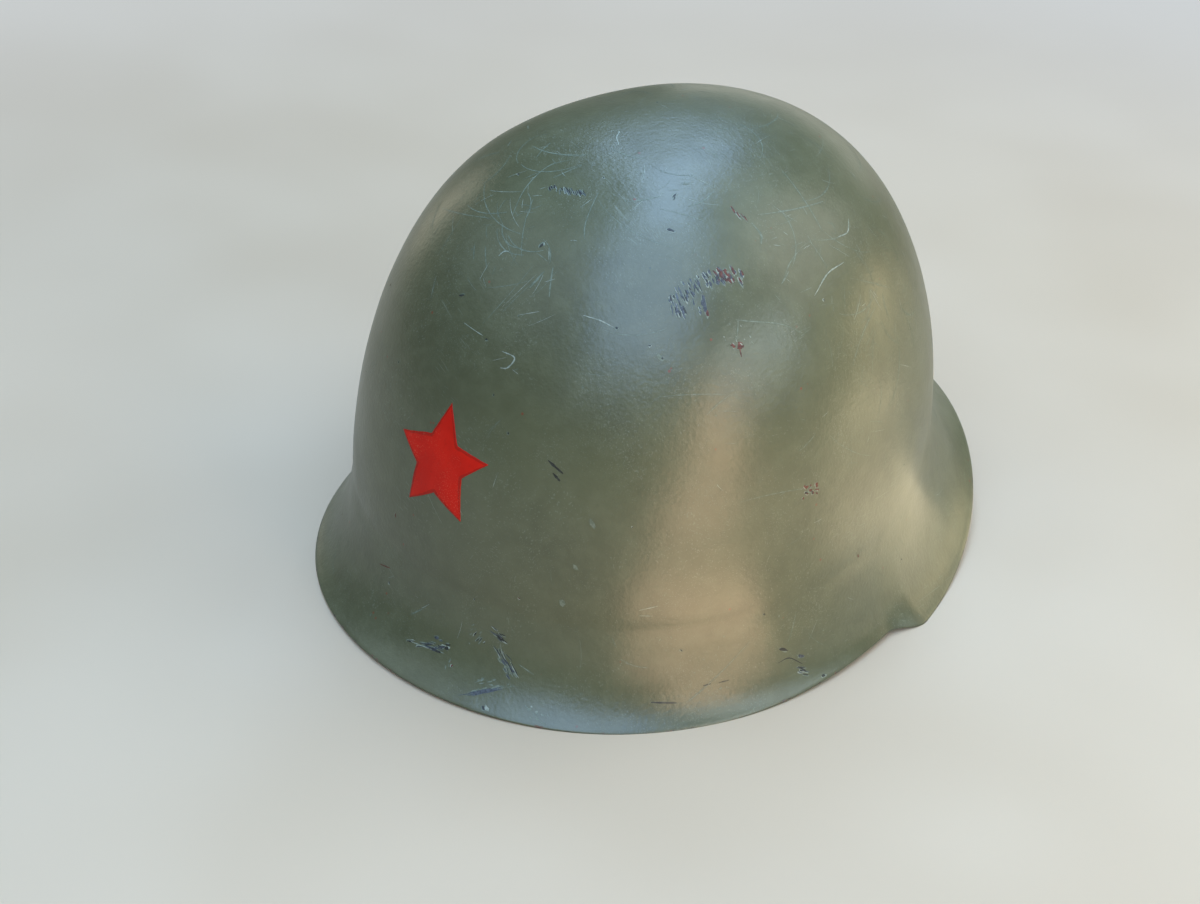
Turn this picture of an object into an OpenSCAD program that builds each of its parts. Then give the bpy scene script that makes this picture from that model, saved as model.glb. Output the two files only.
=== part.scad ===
// Combat helmet: a pressed steel shell with a leather liner and an open chin strap.
// Millimetres. +Z up, -Y the front, +X the wearer's left. The helmet stands on a flat
// surface the way it settles: on the front brim and on the two corners behind the ears.

/* [Steel shell] */
// Reach of the dome ahead of the ear line, at the waist
front_reach = 110; // [104:1:116]
// Reach of the dome behind the ear line, at the waist
rear_reach = 126; // [120:1:132]
// Half of the dome's width, at the waist
half_width = 102.5; // [99:0.5:108]
// Height of the crown above the ear line's foot
crown_h = 172; // [166:1:180]
// Thickness of the pressed sheet
sheet_t = 1.3; // [1:0.1:1.6]
// Squareness of the plan, where 2 is an ellipse
plan_power = 2.05; // [2:0.05:2.3]
// Lean of the dome onto its front brim as it stands
lean_angle = 6.5; // [5:0.5:8]

/* [Dome profile] */
// Fullness of the lower dome at the front
front_fullness = 1.6; // [1.5:0.05:1.9]
// Fullness of the lower dome at the sides
side_fullness = 1.9; // [1.7:0.05:2.2]
// Fullness of the lower dome at the rear
rear_fullness = 2.05; // [1.8:0.05:2.3]
// Roundness of the crown at the front
front_crown = 2.3; // [2.1:0.05:2.6]
// Roundness of the crown at the sides and rear
side_crown = 2.8; // [2.5:0.05:3]
// Height of the waist, where the flare starts, at the front
front_waist = 48; // [44:1:52]
// Height of the waist at the ears
ear_waist = 40; // [37:1:43]
// Height of the waist at the nape
nape_waist = 64; // [60:1:68]

/* [Brim and skirt] */
// Overhang of the brim at the front
front_flare = 22; // [18:0.5:26]
// Overhang of the brim just ahead of the ear step
ear_flare = 10.5; // [8:0.5:13]
// Overhang of the skirt just behind the ear step
skirt_flare = 17.3; // [15:0.1:20]
// Overhang of the skirt at the nape
nape_flare = 29; // [25:0.5:32]
// Angle that the flare turns through, down from the waist
flare_angle = 55; // [48:1:62]
// Middle of the ear step, as an angle from the front
step_angle = 99; // [95:0.5:103]
// Width of the ear step
step_width_angle = 7; // [5:0.5:10]
// Rise of the brim's edge at the middle of the front
brim_arch = 1.8; // [0:0.1:3]
// Rise of the brim's edge just ahead of the ear step
ear_rise = 3.3; // [1:0.1:5]
// Rise of the skirt's edge at the nape
nape_rise = 27; // [20:0.5:32]

/* [Star] */
// Radius of the star's outer points
star_r = 21; // [16:0.5:25]
// Height of the star's middle up the dome
star_z = 90.5; // [84:0.5:96]
// Sideways place of the star's middle
star_x = 0; // [-3:0.5:3]
// Turn of the star, as it was put on by hand
star_angle = -3; // [-6:0.5:6]
// Thickness of the star's paint
star_t = 0.25; // [0.15:0.05:0.5]

/* [Liner] */
// Inset of the hoop's outer face from the dome's plan
hoop_inset = 13.3; // [12.5:0.1:15]
// Thickness of the hoop's steel
hoop_t = 1.2; // [1:0.1:1.6]
// Height of the hoop
hoop_h = 18; // [16:0.5:20]
// Height of the hoop's lower edge
hoop_z = 54; // [53:0.5:56]
// Angle of the front hoop brackets from the front
front_bracket_angle = 42; // [38:1:46]
// Angle of the rear hoop brackets from the front
rear_bracket_angle = 138; // [134:1:142]
// Width of a hoop bracket
bracket_w = 14; // [12:0.5:16]
// Thickness of the bracket steel
bracket_t = 1.2; // [1:0.1:1.5]
// Thickness of the felt pads
pad_t = 3.4; // [3:0.1:4]
// Thickness of the liner's leather
leather_t = 1.6; // [1.2:0.1:2]
// Height of the sweatband's upper edge
band_top = 81; // [79:0.5:84]
// Half of the angle that a crown tongue spans at its foot
tongue_half_angle = 22; // [18:1:25]
// Depth of the crown lace below the crown
lace_drop = 24; // [21:1:30]
// Radius of the crown lace's loop
lace_r = 26; // [22:1:32]
// Thickness of the crown lace
lace_d = 2.8; // [2:0.1:3]

/* [Chin strap] */
// Height of the strap pivots
pivot_z = 40; // [38:0.5:42]
// Radius of the pivot stud's shank
stud_r = 2.5; // [2:0.1:2.8]
// Width of the strap
strap_w = 16; // [14:0.5:18]
// Thickness of the strap's leather
strap_t = 1.6; // [1.4:0.1:1.8]
// Thickness of the lug plate
lug_t = 1.4; // [1.2:0.1:1.6]
// Distance of the lug's bar from the pivot
lug_reach = 13; // [12.5:0.5:15]
// Radius of the strap's bend round the side of the head
side_bend_r = 84; // [78:1:88]
// Angle of that bend
side_bend_angle = 55; // [52:1:58]
// Radius of the hole strap's bend under the chin
tail_bend_r = 167; // [160:1:180]
// Angle of that bend
tail_bend_angle = 24; // [20:0.5:25]
// Length of the straight end that carries the buckle
buckle_run = 39; // [38:0.5:42]
// Radius of the buckle's wire
wire_r = 1.2; // [1:0.1:1.3]
// Length of the buckle between its two bars
buckle_l = 17; // [15:0.5:18]
// Radius of the roller
roller_r = 2.2; // [2:0.1:2.5]
// Radius of the punched strap holes
hole_r = 1.5; // [1.2:0.1:2]
// Distance between the strap holes
hole_pitch = 9; // [7:0.5:10]
// Number of strap holes
hole_count = 6; // [3:1:7]

/* [Hidden] */
$fn = 48;

// Clearances, and depths of cuts past a face
seat_gap = 0.3;
run_gap = 0.05;
cut = 1;
// Gap that also clears the flats of a curved wall, and one for a flat foot on that wall
flat_gap = 0.5;
foot_gap = 0.85;

// Rows and columns of the shell
dome_rows = 17;
flare_rows = 8;
front_cols = 14;
step_cols = 5;
rear_cols = 12;
// Row share of the ground land along the shell's edge
land_share = 0.02;
// Height of the sheet's outer edge above the surface, so that the ground land touches it
edge_lift = 0.65 * (sheet_t - 1);
// Angles at which the brim's arch ends, its ear rise starts and the nape's rise is done
arch_end_angle = 50;
rise_start_angle = 55;
nape_end_angle = 172;

step_from = step_angle - step_width_angle / 2;
step_to = step_angle + step_width_angle / 2;

// A smooth step from 0 at a to 1 at b
function ease(a, b, t) = let (u = min(max((t - a) / (b - a), 0), 1)) u * u * (3 - 2 * u);
function power(v, e) = sign(v) * pow(abs(v), e);
function fold(a) = a > 180 ? 360 - a : a;
function flat(rows) = [for (r = rows) each r];

// Plan of the dome's waist at angle a from the front, drawn in by inset
function reach(a) = cos(a) >= 0 ? front_reach : rear_reach;
function plan(a, inset = 0) = [
    (half_width - inset) * power(sin(a), 2 / plan_power),
    -(reach(a) - inset) * power(cos(a), 2 / plan_power)];
function plan_normal(a, inset = 0) = let (
    e = 2 - 2 / plan_power,
    v = [power(sin(a), e) / (half_width - inset), -power(cos(a), e) / (reach(a) - inset)])
    v / norm(v);

// Form of the shell along the plan
function waist_z(t) = front_waist + (ear_waist - front_waist) * ease(0, 90, t)
    + (nape_waist - ear_waist) * ease(90, 180, t);
function flare(t) = front_flare + (ear_flare - front_flare) * ease(0, step_from, t)
    + (skirt_flare - ear_flare) * ease(step_from, step_to, t)
    + (nape_flare - skirt_flare) * ease(step_to, nape_end_angle, t);
function edge_rise(t) = brim_arch * (1 - ease(0, arch_end_angle, t))
    + ear_rise * (ease(rise_start_angle, step_from, t) - ease(step_from, step_to, t))
    + nape_rise * ease(step_to, nape_end_angle, t) + edge_lift;
function fullness(a) = side_fullness + pow(cos(a), 2)
    * ((cos(a) >= 0 ? front_fullness : rear_fullness) - side_fullness);
function crown(a) = side_crown + (cos(a) >= 0 ? pow(cos(a), 2) * (front_crown - side_crown) : 0);

// Point of the outer surface: v is 0 at the crown, 1 at the waist and 2 at the edge
function dome_point(a, tilt) = let (q = plan(a) * pow(cos(tilt), 2 / crown(a)), w = waist_z(fold(a)))
    [q.x, q.y, w + (crown_h - w) * pow(sin(tilt), 2 / fullness(a))];
function flare_point(a, turn) = let (
    q = plan(a), out = flare(fold(a)) * q / norm(q), w = waist_z(fold(a)),
    edge_z = edge_rise(fold(a)) - (q + out).y * tan(lean_angle),
    xy = q + out * (1 - cos(turn)) / (1 - cos(flare_angle)))
    [xy.x, xy.y, w - (w - edge_z) * sin(turn) / sin(flare_angle)];
function outer_point(a, v) = v <= 1 ? dome_point(a, 90 * (1 - v)) : flare_point(a, flare_angle * (v - 1));
function normal(a, v) = let (
    n = cross(outer_point(a, min(v + 0.004, 2)) - outer_point(a, v - 0.004),
        outer_point(a + 0.4, v) - outer_point(a - 0.4, v)))
    n / norm(n);
function skin(a, v, depth) = outer_point(a, v) - depth * normal(a, v);

// The dome's own frame is leaned onto its brim and centred over the origin
front_tip = -(front_reach + front_flare) / cos(lean_angle) - (brim_arch + edge_lift) * sin(lean_angle);
rear_tip = (rear_reach + nape_flare) / cos(lean_angle) - (nape_rise + edge_lift) * sin(lean_angle);
mid_y = (front_tip + rear_tip) / 2;
function stand(p) = [p.x, p.y * cos(lean_angle) - p.z * sin(lean_angle) - mid_y,
    p.y * sin(lean_angle) + p.z * cos(lean_angle)];
module standing() translate([0, -mid_y, 0]) rotate([lean_angle, 0, 0]) children();

// A closed solid of loops of points with a tip at each end, seen clockwise from outside
module lofted(loops, first_tip, last_tip) {
    n = len(loops[0]);
    last = len(loops) - 1;
    first = len(loops) * n;
    function at(i, j) = i * n + j % n;
    polyhedron(concat(flat(loops), [first_tip, last_tip]), concat(
        [for (j = [0:n - 1]) [first, at(0, j + 1), at(0, j)]],
        [for (i = [0:last - 1], j = [0:n - 1], k = [0, 1]) k == 0
            ? [at(i, j), at(i, j + 1), at(i + 1, j + 1)]
            : [at(i, j), at(i + 1, j + 1), at(i + 1, j)]],
        [for (j = [0:n - 1]) [at(last, j), at(last, j + 1), first + 1]]), convexity = 6);
}

// A closed sheet between two grids of points, rows down and columns to the right
module sheet(outer, inner) {
    rows = len(outer) - 1;
    cols = len(outer[0]) - 1;
    half = len(outer) * len(outer[0]);
    function o(i, j) = i * (cols + 1) + j;
    function n(i, j) = half + o(i, j);
    quads = concat(
        [for (i = [0:rows - 1], j = [0:cols - 1]) each [
            [o(i, j), o(i, j + 1), o(i + 1, j + 1), o(i + 1, j)],
            [n(i, j + 1), n(i, j), n(i + 1, j), n(i + 1, j + 1)]]],
        [for (j = [0:cols - 1]) each [
            [n(0, j), n(0, j + 1), o(0, j + 1), o(0, j)],
            [o(rows, j), o(rows, j + 1), n(rows, j + 1), n(rows, j)]]],
        [for (i = [0:rows - 1]) each [
            [n(i, 0), o(i, 0), o(i + 1, 0), n(i + 1, 0)],
            [o(i, cols), n(i, cols), n(i + 1, cols), o(i + 1, cols)]]]);
    polyhedron(concat(flat(outer), flat(inner)),
        [for (q = quads) each [[q[0], q[1], q[2]], [q[0], q[2], q[3]]]], convexity = 6);
}

// Columns: closer together where the edge steps out behind the ear
half_angles = concat(
    [for (i = [0:front_cols - 1]) step_from * i / front_cols],
    [for (i = [0:step_cols - 1]) step_from + step_width_angle * i / step_cols],
    [for (i = [0:rear_cols - 1]) step_to + (180 - step_to) * i / rear_cols]);
angles = concat(half_angles, [180], [for (i = [len(half_angles) - 1:-1:1]) 360 - half_angles[i]]);
row_shares = concat([for (i = [1:dome_rows]) i / dome_rows], [for (i = [1:flare_rows]) 1 + i / flare_rows]);

// The two rows of the land ground along the edge, at one height and never below the surface
function land_rows(a) = let (
    o = stand(outer_point(a, 2)), i = stand(skin(a, 2, sheet_t)),
    j = stand(skin(a, 2 - land_share, sheet_t)), h = max(j.z, 0), s = (o.z - h) / (o.z - i.z))
    [[o.x + (i.x - o.x) * s, o.y + (i.y - o.y) * s, h], [j.x, j.y, h]];

module steel_shell() {
    land = [for (a = angles) land_rows(a)];
    inner_shares = [for (i = [len(row_shares) - 2:-1:0]) row_shares[i]];
    color("#66735a") lofted(concat(
        [for (v = row_shares) [for (a = angles) stand(outer_point(a, v))]],
        [for (k = [0, 1]) [for (l = land) l[k]]],
        [for (v = inner_shares) [for (a = angles) stand(skin(a, v, sheet_t))]]),
        stand([0, 0, crown_h]), stand([0, 0, crown_h - sheet_t]));
}

// Place on the dome of a point given by its x and z, found in a few steps
function share_at(z, a) = let (w = waist_z(fold(a)))
    1 - asin(pow((z - w) / (crown_h - w), fullness(a) / 2)) / 90;
function angle_at(x, z, a, steps) = steps == 0 ? a : let (
    k = pow(cos(90 * (1 - share_at(z, a))), 2 / crown(a)))
    angle_at(x, z, asin(power(x / (half_width * k), plan_power / 2)), steps - 1);
function on_front(x, z, depth) = let (a = angle_at(x, z, 0, 5)) skin(a, share_at(z, a), depth);

// Five-pointed star with fat arms, painted by hand: each corner's reach as a share of the radius, and how many
// degrees it sits out of true, from the top point round. Then points along each edge, and rings to the middle.
star_corners = [[0.98, 0], [0.5, -3], [1, 7], [0.53, -1], [1.01, 0],
    [0.49, -3], [0.97, 1.5], [0.5, 11.5], [0.99, -0.5], [0.51, -1]];
star_splits = 3;
star_rings = 3;
star_lift = 0.05;
function star_corner(k) = let (c = star_corners[k % 10], r = star_r * c[0], b = 90 - star_angle + 36 * k + c[1])
    [r * cos(b), r * sin(b)];
function star_edge(i) = let (k = floor(i / star_splits), f = i / star_splits - k)
    star_corner(k) * (1 - f) + star_corner(k + 1) * f;
function star_loop(share, depth) = [for (i = [0:10 * star_splits - 1]) let (q = star_edge(i) * share)
    stand(on_front(star_x + q.x, star_z + q.y, depth))];
module star_emblem() {
    color("#a51e0f") lofted(concat(
        [for (i = [1:star_rings]) star_loop(i / star_rings, -star_lift - star_t)],
        [for (i = [star_rings:-1:1]) star_loop(i / star_rings, -star_lift)]),
        stand(on_front(star_x, star_z, -star_lift - star_t)), stand(on_front(star_x, star_z, -star_lift)));
}

// Rings and bands that follow the dome's plan
plan_steps = 80;
function plan_arc(inset, from, to, n) = [for (i = [0:n]) plan(from + (to - from) * i / n, inset)];
module plan_ring(outer, inner, z, h) translate([0, 0, z]) linear_extrude(h) difference() {
    polygon([for (i = [0:plan_steps - 1]) plan(360 * i / plan_steps, outer)]);
    polygon([for (i = [0:plan_steps - 1]) plan(360 * i / plan_steps, inner)]);
}
module plan_band(outer, inner, z, h, from, to, n) translate([0, 0, z]) linear_extrude(h)
    polygon(concat(plan_arc(outer, from, to, n), plan_arc(inner, to, from, n)));

// Liner hoop, with a bore for each bracket's rivet
rivet_r = 1.5;
rivet_gap = 0.1;
rivet_head_r = 2.9;
rivet_head_h = 1.1;
inner_head_h = 0.8;
// Room under a rivet's heads, on walls and straps that bend away
rivet_room = 0.2;
tab_foot = 6;
rivet_share = 0.62;
rivet_z = hoop_z + hoop_h * rivet_share;
bracket_angles = [front_bracket_angle, -front_bracket_angle, rear_bracket_angle, -rear_bracket_angle];
// Frame on the hoop's outer face at angle a: +X outwards, +Y along the hoop
module on_hoop(a) {
    q = plan(a, hoop_inset);
    n = plan_normal(a, hoop_inset);
    translate([q.x, q.y, 0]) rotate([0, 0, atan2(n.y, n.x)]) children();
}
module liner_hoop() color("#3c4038") standing() difference() {
    plan_ring(hoop_inset, hoop_inset + hoop_t, hoop_z, hoop_h);
    for (a = bracket_angles) on_hoop(a) translate([-hoop_t - cut, 0, rivet_z]) rotate([0, 90, 0])
        cylinder(h = hoop_t + 2 * cut, r = rivet_r + rivet_gap, $fn = 24);
}

// Bent strip from the shell's wall to the hoop: profile in distance from the hoop and height
foot_rise = 5;
foot_l = 16;
bend_drop = 1;
foot_low = hoop_z + hoop_h + foot_rise;
foot_high = foot_low + foot_l;
function wall_from_hoop(a, z) = let (
    q = plan(a) * pow(cos(90 * (1 - share_at(z, a))), 2 / crown(a)) - plan(a, hoop_inset))
    q * plan_normal(a, hoop_inset) - sheet_t - foot_gap;
module hoop_bracket(a) {
    high = wall_from_hoop(fold(abs(a)), foot_high);
    low = wall_from_hoop(fold(abs(a)), foot_low);
    near = run_gap;
    far = near + bracket_t;
    bend = hoop_z + hoop_h - bend_drop;
    color("#4a5044") standing() difference() {
        on_hoop(a) rotate([90, 0, 0]) linear_extrude(bracket_w, center = true) polygon([
            [high, foot_high], [low, foot_low], [far, bend - bracket_t / 2], [far, hoop_z + tab_foot],
            [near, hoop_z + tab_foot], [near, bend], [low - bracket_t, foot_low + bracket_t / 2],
            [high - bracket_t, foot_high]]);
        on_hoop(a) translate([-cut, 0, rivet_z]) rotate([0, 90, 0])
            cylinder(h = far + 2 * cut, r = rivet_r + rivet_gap, $fn = 24);
    }
}

// Rivet along +X with a domed head outside and a flat head inside, grip between them
module rivet(grip, shank_r, head_r, head_h, tail_h) rotate([0, 90, 0]) rotate_extrude($fn = 24)
    polygon(concat([[0, -tail_h], [head_r, -tail_h], [head_r, 0], [shank_r, 0], [shank_r, grip]],
        [for (i = [0:4]) let (b = 90 * i / 4) [head_r * cos(b), grip + head_h * sin(b)]]));
module hoop_rivets() color("#8d8f88") standing() for (a = bracket_angles)
    on_hoop(a) translate([-hoop_t - rivet_room, 0, rivet_z])
        rivet(hoop_t + bracket_t + 2 * rivet_room, rivet_r, rivet_head_r, rivet_head_h, inner_head_h);

// Felt pads between the hoop and the sweatband, clear of the rivets
pad_out = hoop_inset + hoop_t + seat_gap;
band_out = pad_out + pad_t + seat_gap;
pad_foot = 1;
module pad(from, to) color("#8a8272") standing()
    plan_band(pad_out, pad_out + pad_t, hoop_z + pad_foot, hoop_h - 2 * pad_foot, from, to, 18);
pad_clear = 5;
module forehead_pad() pad(-front_bracket_angle + pad_clear, front_bracket_angle - pad_clear);
module nape_pad() pad(rear_bracket_angle + pad_clear, 360 - rear_bracket_angle - pad_clear);
module temple_pad_left() pad(front_bracket_angle + pad_clear, rear_bracket_angle - pad_clear);
module temple_pad_right() mirror([1, 0, 0]) temple_pad_left();

// Sweatband: a wall inside the pads, turned out under the hoop's lower edge
band_foot = hoop_z - seat_gap - leather_t;
lip_out = hoop_inset - seat_gap - leather_t;
lip_top = hoop_z + tab_foot - cut;
module sweatband() color("#5a3a24") standing() {
    plan_ring(band_out, band_out + leather_t, band_foot, band_top - band_foot);
    plan_ring(lip_out, band_out + leather_t, band_foot, leather_t);
    plan_ring(lip_out, lip_out + leather_t, band_foot, lip_top - band_foot);
}

// Crown tongues: leather that stands up outside the sweatband, then curves in to the crown lace
liner_mid = [0, (rear_reach - front_reach) / 2];
lace_z = crown_h - lace_drop;
tongue_count = 6;
loop_wall = 1.1;
loop_gap = 0.7;
loop_l = 9;
tongue_clear = 1;
tongue_foot = hoop_z + hoop_h + tongue_clear;
tongue_inset = band_out - flat_gap - leather_t;
tongue_rows = 8;
tongue_cols = 5;
loop_half_angle = 10;
loop_r = lace_d / 2 + loop_gap;
// Point of a tongue: t is 0 at the sweatband's upper edge and 1 at the lace
function tongue_point(a, t, depth) = let (
    d = plan(a, tongue_inset + depth * (1 - t)) - liner_mid,
    end = (lace_r + loop_r + loop_wall / 2) / norm(d),
    k = end + (1 - end) * cos(90 * t))
    [liner_mid.x + d.x * k, liner_mid.y + d.y * k,
        band_top + (lace_z - band_top) * sin(90 * t) + (leather_t / 2 - depth) * t];
function tongue_row(mid, t, depth) = let (
    half = tongue_half_angle + (loop_half_angle - tongue_half_angle) * t)
    [for (j = [0:tongue_cols]) tongue_point(mid + half * (2 * j / tongue_cols - 1), t, depth)];
function tongue_grid(mid, depth) = concat(
    [for (i = [tongue_rows:-1:0]) tongue_row(mid, i / tongue_rows, depth)],
    [[for (p = tongue_row(mid, 0, depth)) [p.x, p.y, tongue_foot]]]);
module crown_tongue(i) {
    mid = 360 / tongue_count * (i - 1);
    tip = tongue_point(mid, 1, 0);
    turn = atan2(tip.y - liner_mid.y, tip.x - liner_mid.x);
    color("#6a4a30") standing() difference() {
        union() {
            sheet(tongue_grid(mid, 0), tongue_grid(mid, leather_t));
            on_lace(turn) cylinder(h = loop_l, r = loop_r + loop_wall, center = true, $fn = 24);
        }
        on_lace(turn) cylinder(h = loop_l + 2 * cut, r = loop_r, center = true, $fn = 24);
    }
}
module on_lace(turn) translate([liner_mid.x, liner_mid.y, lace_z]) rotate([0, 0, turn])
    translate([lace_r, 0, 0]) rotate([90, 0, 0]) children();

// Crown lace: a drawn loop with its knot at the rear, between two tongues
knot_angle = 360 / tongue_count;
module crown_lace() color("#b9b09a") standing() {
    translate([liner_mid.x, liner_mid.y, lace_z]) rotate_extrude($fn = 72)
        translate([lace_r, 0]) circle(r = lace_d / 2, $fn = 16);
    translate([liner_mid.x, liner_mid.y, lace_z]) rotate([0, 0, knot_angle])
        translate([lace_r, 0, 0]) sphere(r = lace_d * 1.1, $fn = 24);
}

// Strap plate: welded to the wall over the ear, with a bore for the stud
plate_t = 1.5;
plate_w = 18;
plate_rise = 18;
plate_r = plate_w / 2;
// Wall's inner face at the plate's upper corners, from the plan's own curve
plate_top_share = share_at(pivot_z + plate_rise, 90);
plate_scale = pow(cos(90 * (1 - plate_top_share)), 2 / side_crown);
wall_x = half_width * plate_scale
    * pow(1 - pow(plate_r / (front_reach * plate_scale), plan_power), 1 / plan_power) - sheet_t;
plate_x = wall_x - seat_gap;
tail_r = 3.6;
tail_h = 0.5;
tail_shank_r = 2;
module side(s) standing() mirror([s < 0 ? 1 : 0, 0, 0]) children();
module strap_plate(s) color("#4a5044") side(s) translate([plate_x - plate_t, 0, pivot_z])
    rotate([90, 0, 90]) linear_extrude(plate_t) difference() {
        union() {
            circle(r = plate_r);
            translate([-plate_r, 0]) square([plate_w, plate_rise]);
        }
        circle(r = tail_shank_r + run_gap);
    }

// Pivot stud: a shoulder stands the lug off the plate and a head keeps it on
lug_play = 0.15;
shoulder_l = 2.4;
shoulder_r = 4;
stud_head_r = 4.5;
stud_head_h = 1.5;
lug_x = plate_x - plate_t - shoulder_l - lug_play - lug_t / 2;
module pivot_stud(s) color("#8d8f88") side(s) translate([plate_x - plate_t - shoulder_l, 0, pivot_z])
    rotate([0, 90, 0]) rotate_extrude() polygon([
        [0, -lug_t - 2 * lug_play - stud_head_h], [stud_head_r * 0.7, -lug_t - 2 * lug_play - stud_head_h],
        [stud_head_r, -lug_t - 2 * lug_play - stud_head_h * 0.5], [stud_head_r, -lug_t - 2 * lug_play],
        [stud_r, -lug_t - 2 * lug_play], [stud_r, 0], [shoulder_r, 0], [shoulder_r, shoulder_l - run_gap],
        [tail_shank_r, shoulder_l - run_gap], [tail_shank_r, shoulder_l + plate_t + run_gap],
        [tail_r, shoulder_l + plate_t + run_gap], [tail_r, shoulder_l + plate_t + run_gap + tail_h],
        [0, shoulder_l + plate_t + run_gap + tail_h]]);

// Route of a strap in its own plane, as [x, y, heading from +Y], by length from the lug's bar:
// a bend round the side of the head, then a second part that is straight or of another radius
side_l = side_bend_r * side_bend_angle * PI / 180;
straight = 0;
function bend(start, r, turn) = let (h = start[2] + turn) [
    start[0] - r * (cos(start[2]) - cos(h)), start[1] + r * (sin(h) - sin(start[2])), h];
function onward(start, l) = [start[0] - l * sin(start[2]), start[1] + l * cos(start[2]), start[2]];
function second_part(start, l, r) = r == straight ? onward(start, l) : bend(start, r, l / r * 180 / PI);
function side_part(s) = bend([lug_x, lug_reach, 0], side_bend_r, s / side_bend_r * 180 / PI);
function route(s, second_r = straight) = s <= side_l ? side_part(s)
    : second_part(side_part(side_l), s - side_l, second_r);
buckle_at = side_l + buckle_run;
hole_strap_l = side_l + tail_bend_r * tail_bend_angle * PI / 180;
buckle_slack = 1;
buckle_w = strap_w + 2 * (wire_r + buckle_slack);

// Each strap lies round the nape, drooping until its lowest corner nears the surface
pivot = stand([0, 0, pivot_z]);
floor_gap = 0.3;
function droop(reach, half_w) = asin((pivot.z - floor_gap) / norm([reach, half_w])) - atan2(half_w, reach);
left_end = route(buckle_at);
left_droop = droop(left_end[1] + buckle_l * cos(left_end[2]) + roller_r, buckle_w / 2 + wire_r);
right_droop = droop(route(hole_strap_l, tail_bend_r)[1] + strap_t, strap_w / 2);
// Plane of a strap: X across the helmet, Y away from the pivots, Z its width
module strap_plane(s) translate(pivot) rotate([s < 0 ? -right_droop : -left_droop, 0, 0])
    mirror([s < 0 ? 1 : 0, 0, 0]) children();

// Lug: a boss on the stud and a bar for the strap to turn round
lug_boss_r = 6;
bar_r = 1.2;
bar_gap = 0.15;
lug_arm = 2.2;
lug_slack = 0.5;
lug_w = strap_w + 2 * (lug_arm + lug_slack);
module strap_lug(s) color("#777a72") strap_plane(s) {
    difference() {
        translate([lug_x - lug_t / 2, 0, 0]) rotate([90, 0, 90]) linear_extrude(lug_t) difference() {
            union() {
                circle(r = lug_boss_r);
                polygon([[0, -lug_boss_r], [lug_boss_r, -lug_w / 2], [lug_reach + bar_r, -lug_w / 2],
                    [lug_reach + bar_r, lug_w / 2], [lug_boss_r, lug_w / 2], [0, lug_boss_r]]);
            }
            translate([lug_boss_r + lug_slack, -lug_w / 2 + lug_arm])
                square([lug_reach + bar_r, lug_w - 2 * lug_arm]);
        }
        translate([lug_x - lug_t, 0, 0]) rotate([0, 90, 0]) cylinder(h = 2 * lug_t, r = stud_r + run_gap);
    }
    translate([lug_x, lug_reach, 0]) cylinder(h = lug_w - lug_arm, r = bar_r, center = true, $fn = 32);
}

// Point beside the route, towards the shell, and a run of them
function beside(p, d) = [p[0] + d * cos(p[2]), p[1] + d * sin(p[2])];
function run(from, to, d, n, second_r = straight) =
    [for (i = [0:n]) beside(route(from + (to - from) * i / n, second_r), d)];
// Frame at a length along the route: +Y onwards, +X towards the shell
module along(s, second_r = straight) {
    p = route(s, second_r);
    translate([p[0], p[1], 0]) rotate([0, 0, p[2]]) children();
}

// A strap's end folds round a bar in an eye, and its second layer runs back past the rivet
eye_r = bar_r + bar_gap + strap_t;
face = strap_t / 2;
fold_face = -1.5 * strap_t;
root_run = 10;
root_fold = 20;
rivet_at = 12;
bend_steps = 12;
root_outer = concat([beside(route(0), eye_r)], run(root_run, side_l, face, bend_steps));
root_inner = concat(run(side_l, root_fold, -face, bend_steps), run(root_fold, root_run, fold_face, 3),
    [beside(route(0), -eye_r)]);
module eye(s) along(s) circle(r = eye_r, $fn = 32);
module bar_bore(s) along(s) cylinder(h = strap_w + 2 * cut, r = bar_r + bar_gap, center = true, $fn = 32);
strap_rivet_r = 1.3;
module rivet_bore(s) along(s) rotate([0, 90, 0])
    cylinder(h = 6 * strap_t, r = strap_rivet_r + rivet_gap, center = true, $fn = 24);

// Left strap: short, with the buckle on its straight end
slot_w = 4.4;
end_run = 6;
end_fold = 17;
module buckle_strap() color("#54361f") strap_plane(1) difference() {
    linear_extrude(strap_w, center = true) {
        eye(0);
        eye(buckle_at);
        polygon(concat(root_outer, [beside(route(buckle_at - end_run), face)],
            [for (d = [eye_r, -eye_r]) beside(route(buckle_at), d)],
            run(buckle_at - end_run, buckle_at - end_fold, fold_face, 1),
            [beside(route(buckle_at - end_fold), -face)], root_inner));
    }
    bar_bore(0);
    bar_bore(buckle_at);
    rivet_bore(rivet_at);
    rivet_bore(buckle_at - rivet_at);
    along(buckle_at) cube([4 * eye_r, 2 * eye_r + 2, slot_w], center = true);
}

// Right strap: long, with punched holes towards a pointed tip
tip_l = 9;
tail_steps = 14;
module hole_strap() color("#54361f") strap_plane(-1) difference() {
    linear_extrude(strap_w, center = true) {
        eye(0);
        polygon(concat(root_outer, run(side_l, hole_strap_l, face, tail_steps, tail_bend_r),
            run(hole_strap_l, side_l, -face, tail_steps, tail_bend_r), root_inner));
    }
    bar_bore(0);
    rivet_bore(rivet_at);
    for (i = [1:hole_count]) strap_hole(hole_strap_l - tip_l - hole_pitch * i);
    along(hole_strap_l, tail_bend_r) for (m = [0, 1]) mirror([0, 0, m]) rotate([0, 90, 0])
        linear_extrude(8 * strap_t, center = true)
            polygon([[-strap_w / 2 - cut, -tip_l], [-strap_w / 2, -tip_l], [-strap_w / 5, -tip_l / 4],
                [0, 0], [0, tip_l], [-strap_w / 2 - cut, tip_l]]);
}
module strap_hole(s) along(s, tail_bend_r) rotate([0, 90, 0])
    cylinder(h = 4 * strap_t, r = hole_r, center = true, $fn = 24);

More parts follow.
